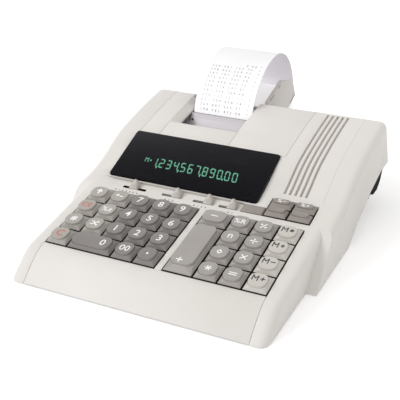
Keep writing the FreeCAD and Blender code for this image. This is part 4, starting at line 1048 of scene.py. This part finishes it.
line_pitch = 0.00452
line_first = 0.0026
line_count = 12
print_size = 0.0034
print_rise = 0.00005
print_margin = 0.0040
across = Vector((1.0, 0.0, 0.0))
printed = []
for line in range(line_count):
    amount = "%09d" % (198765432 + 11122233 * line)
    text = "%s %s %s.%02d  " % (amount[:3], amount[3:6], amount[6:], (line * 37) % 100)
    text += "+" if line % 4 else "*"
    if line == line_count - 1:
        text = "0.00 *"
    words = lettering("line", text, print_size, (0.0, 0.0, 0.0), 0.00002, 1.86, 0.002)
    middle, along = place_along(outside, line_first + line * line_pitch)
    out = across.cross(along)
    turn = Matrix((across, along, out)).transposed().to_4x4()
    right_edge = max(vertex.co.x for vertex in words.data.vertices)
    shift = Vector((paper_high.x - print_margin - right_edge, middle.y, middle.z)) + out * print_rise
    words.data.transform(Matrix.Translation(shift) @ turn)
    printed.append(words)
dress(joined(printed, "printed_lines"), print_ink, "frame", "paper")


# Roll holder
# Two arms on a cross bar, moulded in one piece of grey plastic, which plugs into the case's rear face.
# The roll's spindle drops into their slots. Three thin dark strips on the right arm's outer face are painted
# shade along its edges.

holder_plastic = finish_material("grey roll holder plastic", (209, 204, 200), (197, 192, 188), 0.45)
cad_piece("roll_holder", "holder_arms", holder_plastic, "frame", "holder_plastic", 0.0006)

arm_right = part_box("roll_holder")[1].x
arm_line_half = 0.00045
arm_lines = []
for start_y, start_z, end_y, end_z in ((93.0, 76.4, 104.0, 79.9), (114.0, 83.0, 119.5, 84.8),
                                       (149.0, 58.0, 161.5, 63.8)):
    run_y = (end_y - start_y) * millimetre
    run_z = (end_z - start_z) * millimetre
    line = block("arm_line", (-0.00004, 0.0, -arm_line_half),
                 (0.00006, math.hypot(run_y, run_z), arm_line_half))
    edit_all(line, (bpy.ops.mesh.bevel, {"offset": 0.00003, "segments": 1}))
    start = Vector((arm_right, start_y * millimetre, start_z * millimetre))
    line.data.transform(Matrix.Translation(start) @ Matrix.Rotation(math.atan2(run_z, run_y), 4, "X"))
    arm_lines.append(line)
dress(joined(arm_lines, "arm_shade_lines"), gap_shade, "frame", "holder_plastic")


# Paper feed knob
# A black moulded wheel, pressed on the platen's shaft, that is reached from under the right edge of the case.
# A thin black strip lies in the slot above it: painted shade for the dark gap there.

cad_piece("feed_knob", "feed_wheel", black_plastic, "platen_shaft", "black_plastic", 0.0004)

slot_shade_front = 0.041
slot_shade_rear = 0.0815
slot_shade_line_x = 0.1112
slot_shade = block("knob_slot_shade", (0.1108, slot_shade_front, -0.0020), (0.1119, slot_shade_rear, 0.0))
slice_across(slot_shade, slot_shade_front, slot_shade_rear, 12)
for vertex in slot_shade.data.vertices:
    vertex.co.z += skin_height(slot_shade_line_x, vertex.co.y, -0.05, 1.0) + 0.0002
soften(slot_shade, 0.0002)
shade(slot_shade)
dress(slot_shade, black_plastic, "frame", "black_plastic")


# Boards inside
# The key board (a guide plate over a printed board) and the transformer sit under the case, out of sight.
# Screws and clips hold them to the base.

board_laminate = finish_material("green board laminate", (62, 92, 58), (54, 80, 50), 0.4)
cad_piece("key_board", "board_and_guide", board_laminate, "frame", "board_laminate")
transformer_iron = finish_material("varnished transformer iron", (92, 86, 78), (78, 72, 64), 0.4)
cad_piece("transformer", "transformer_core", transformer_iron, "frame", "transformer_iron")
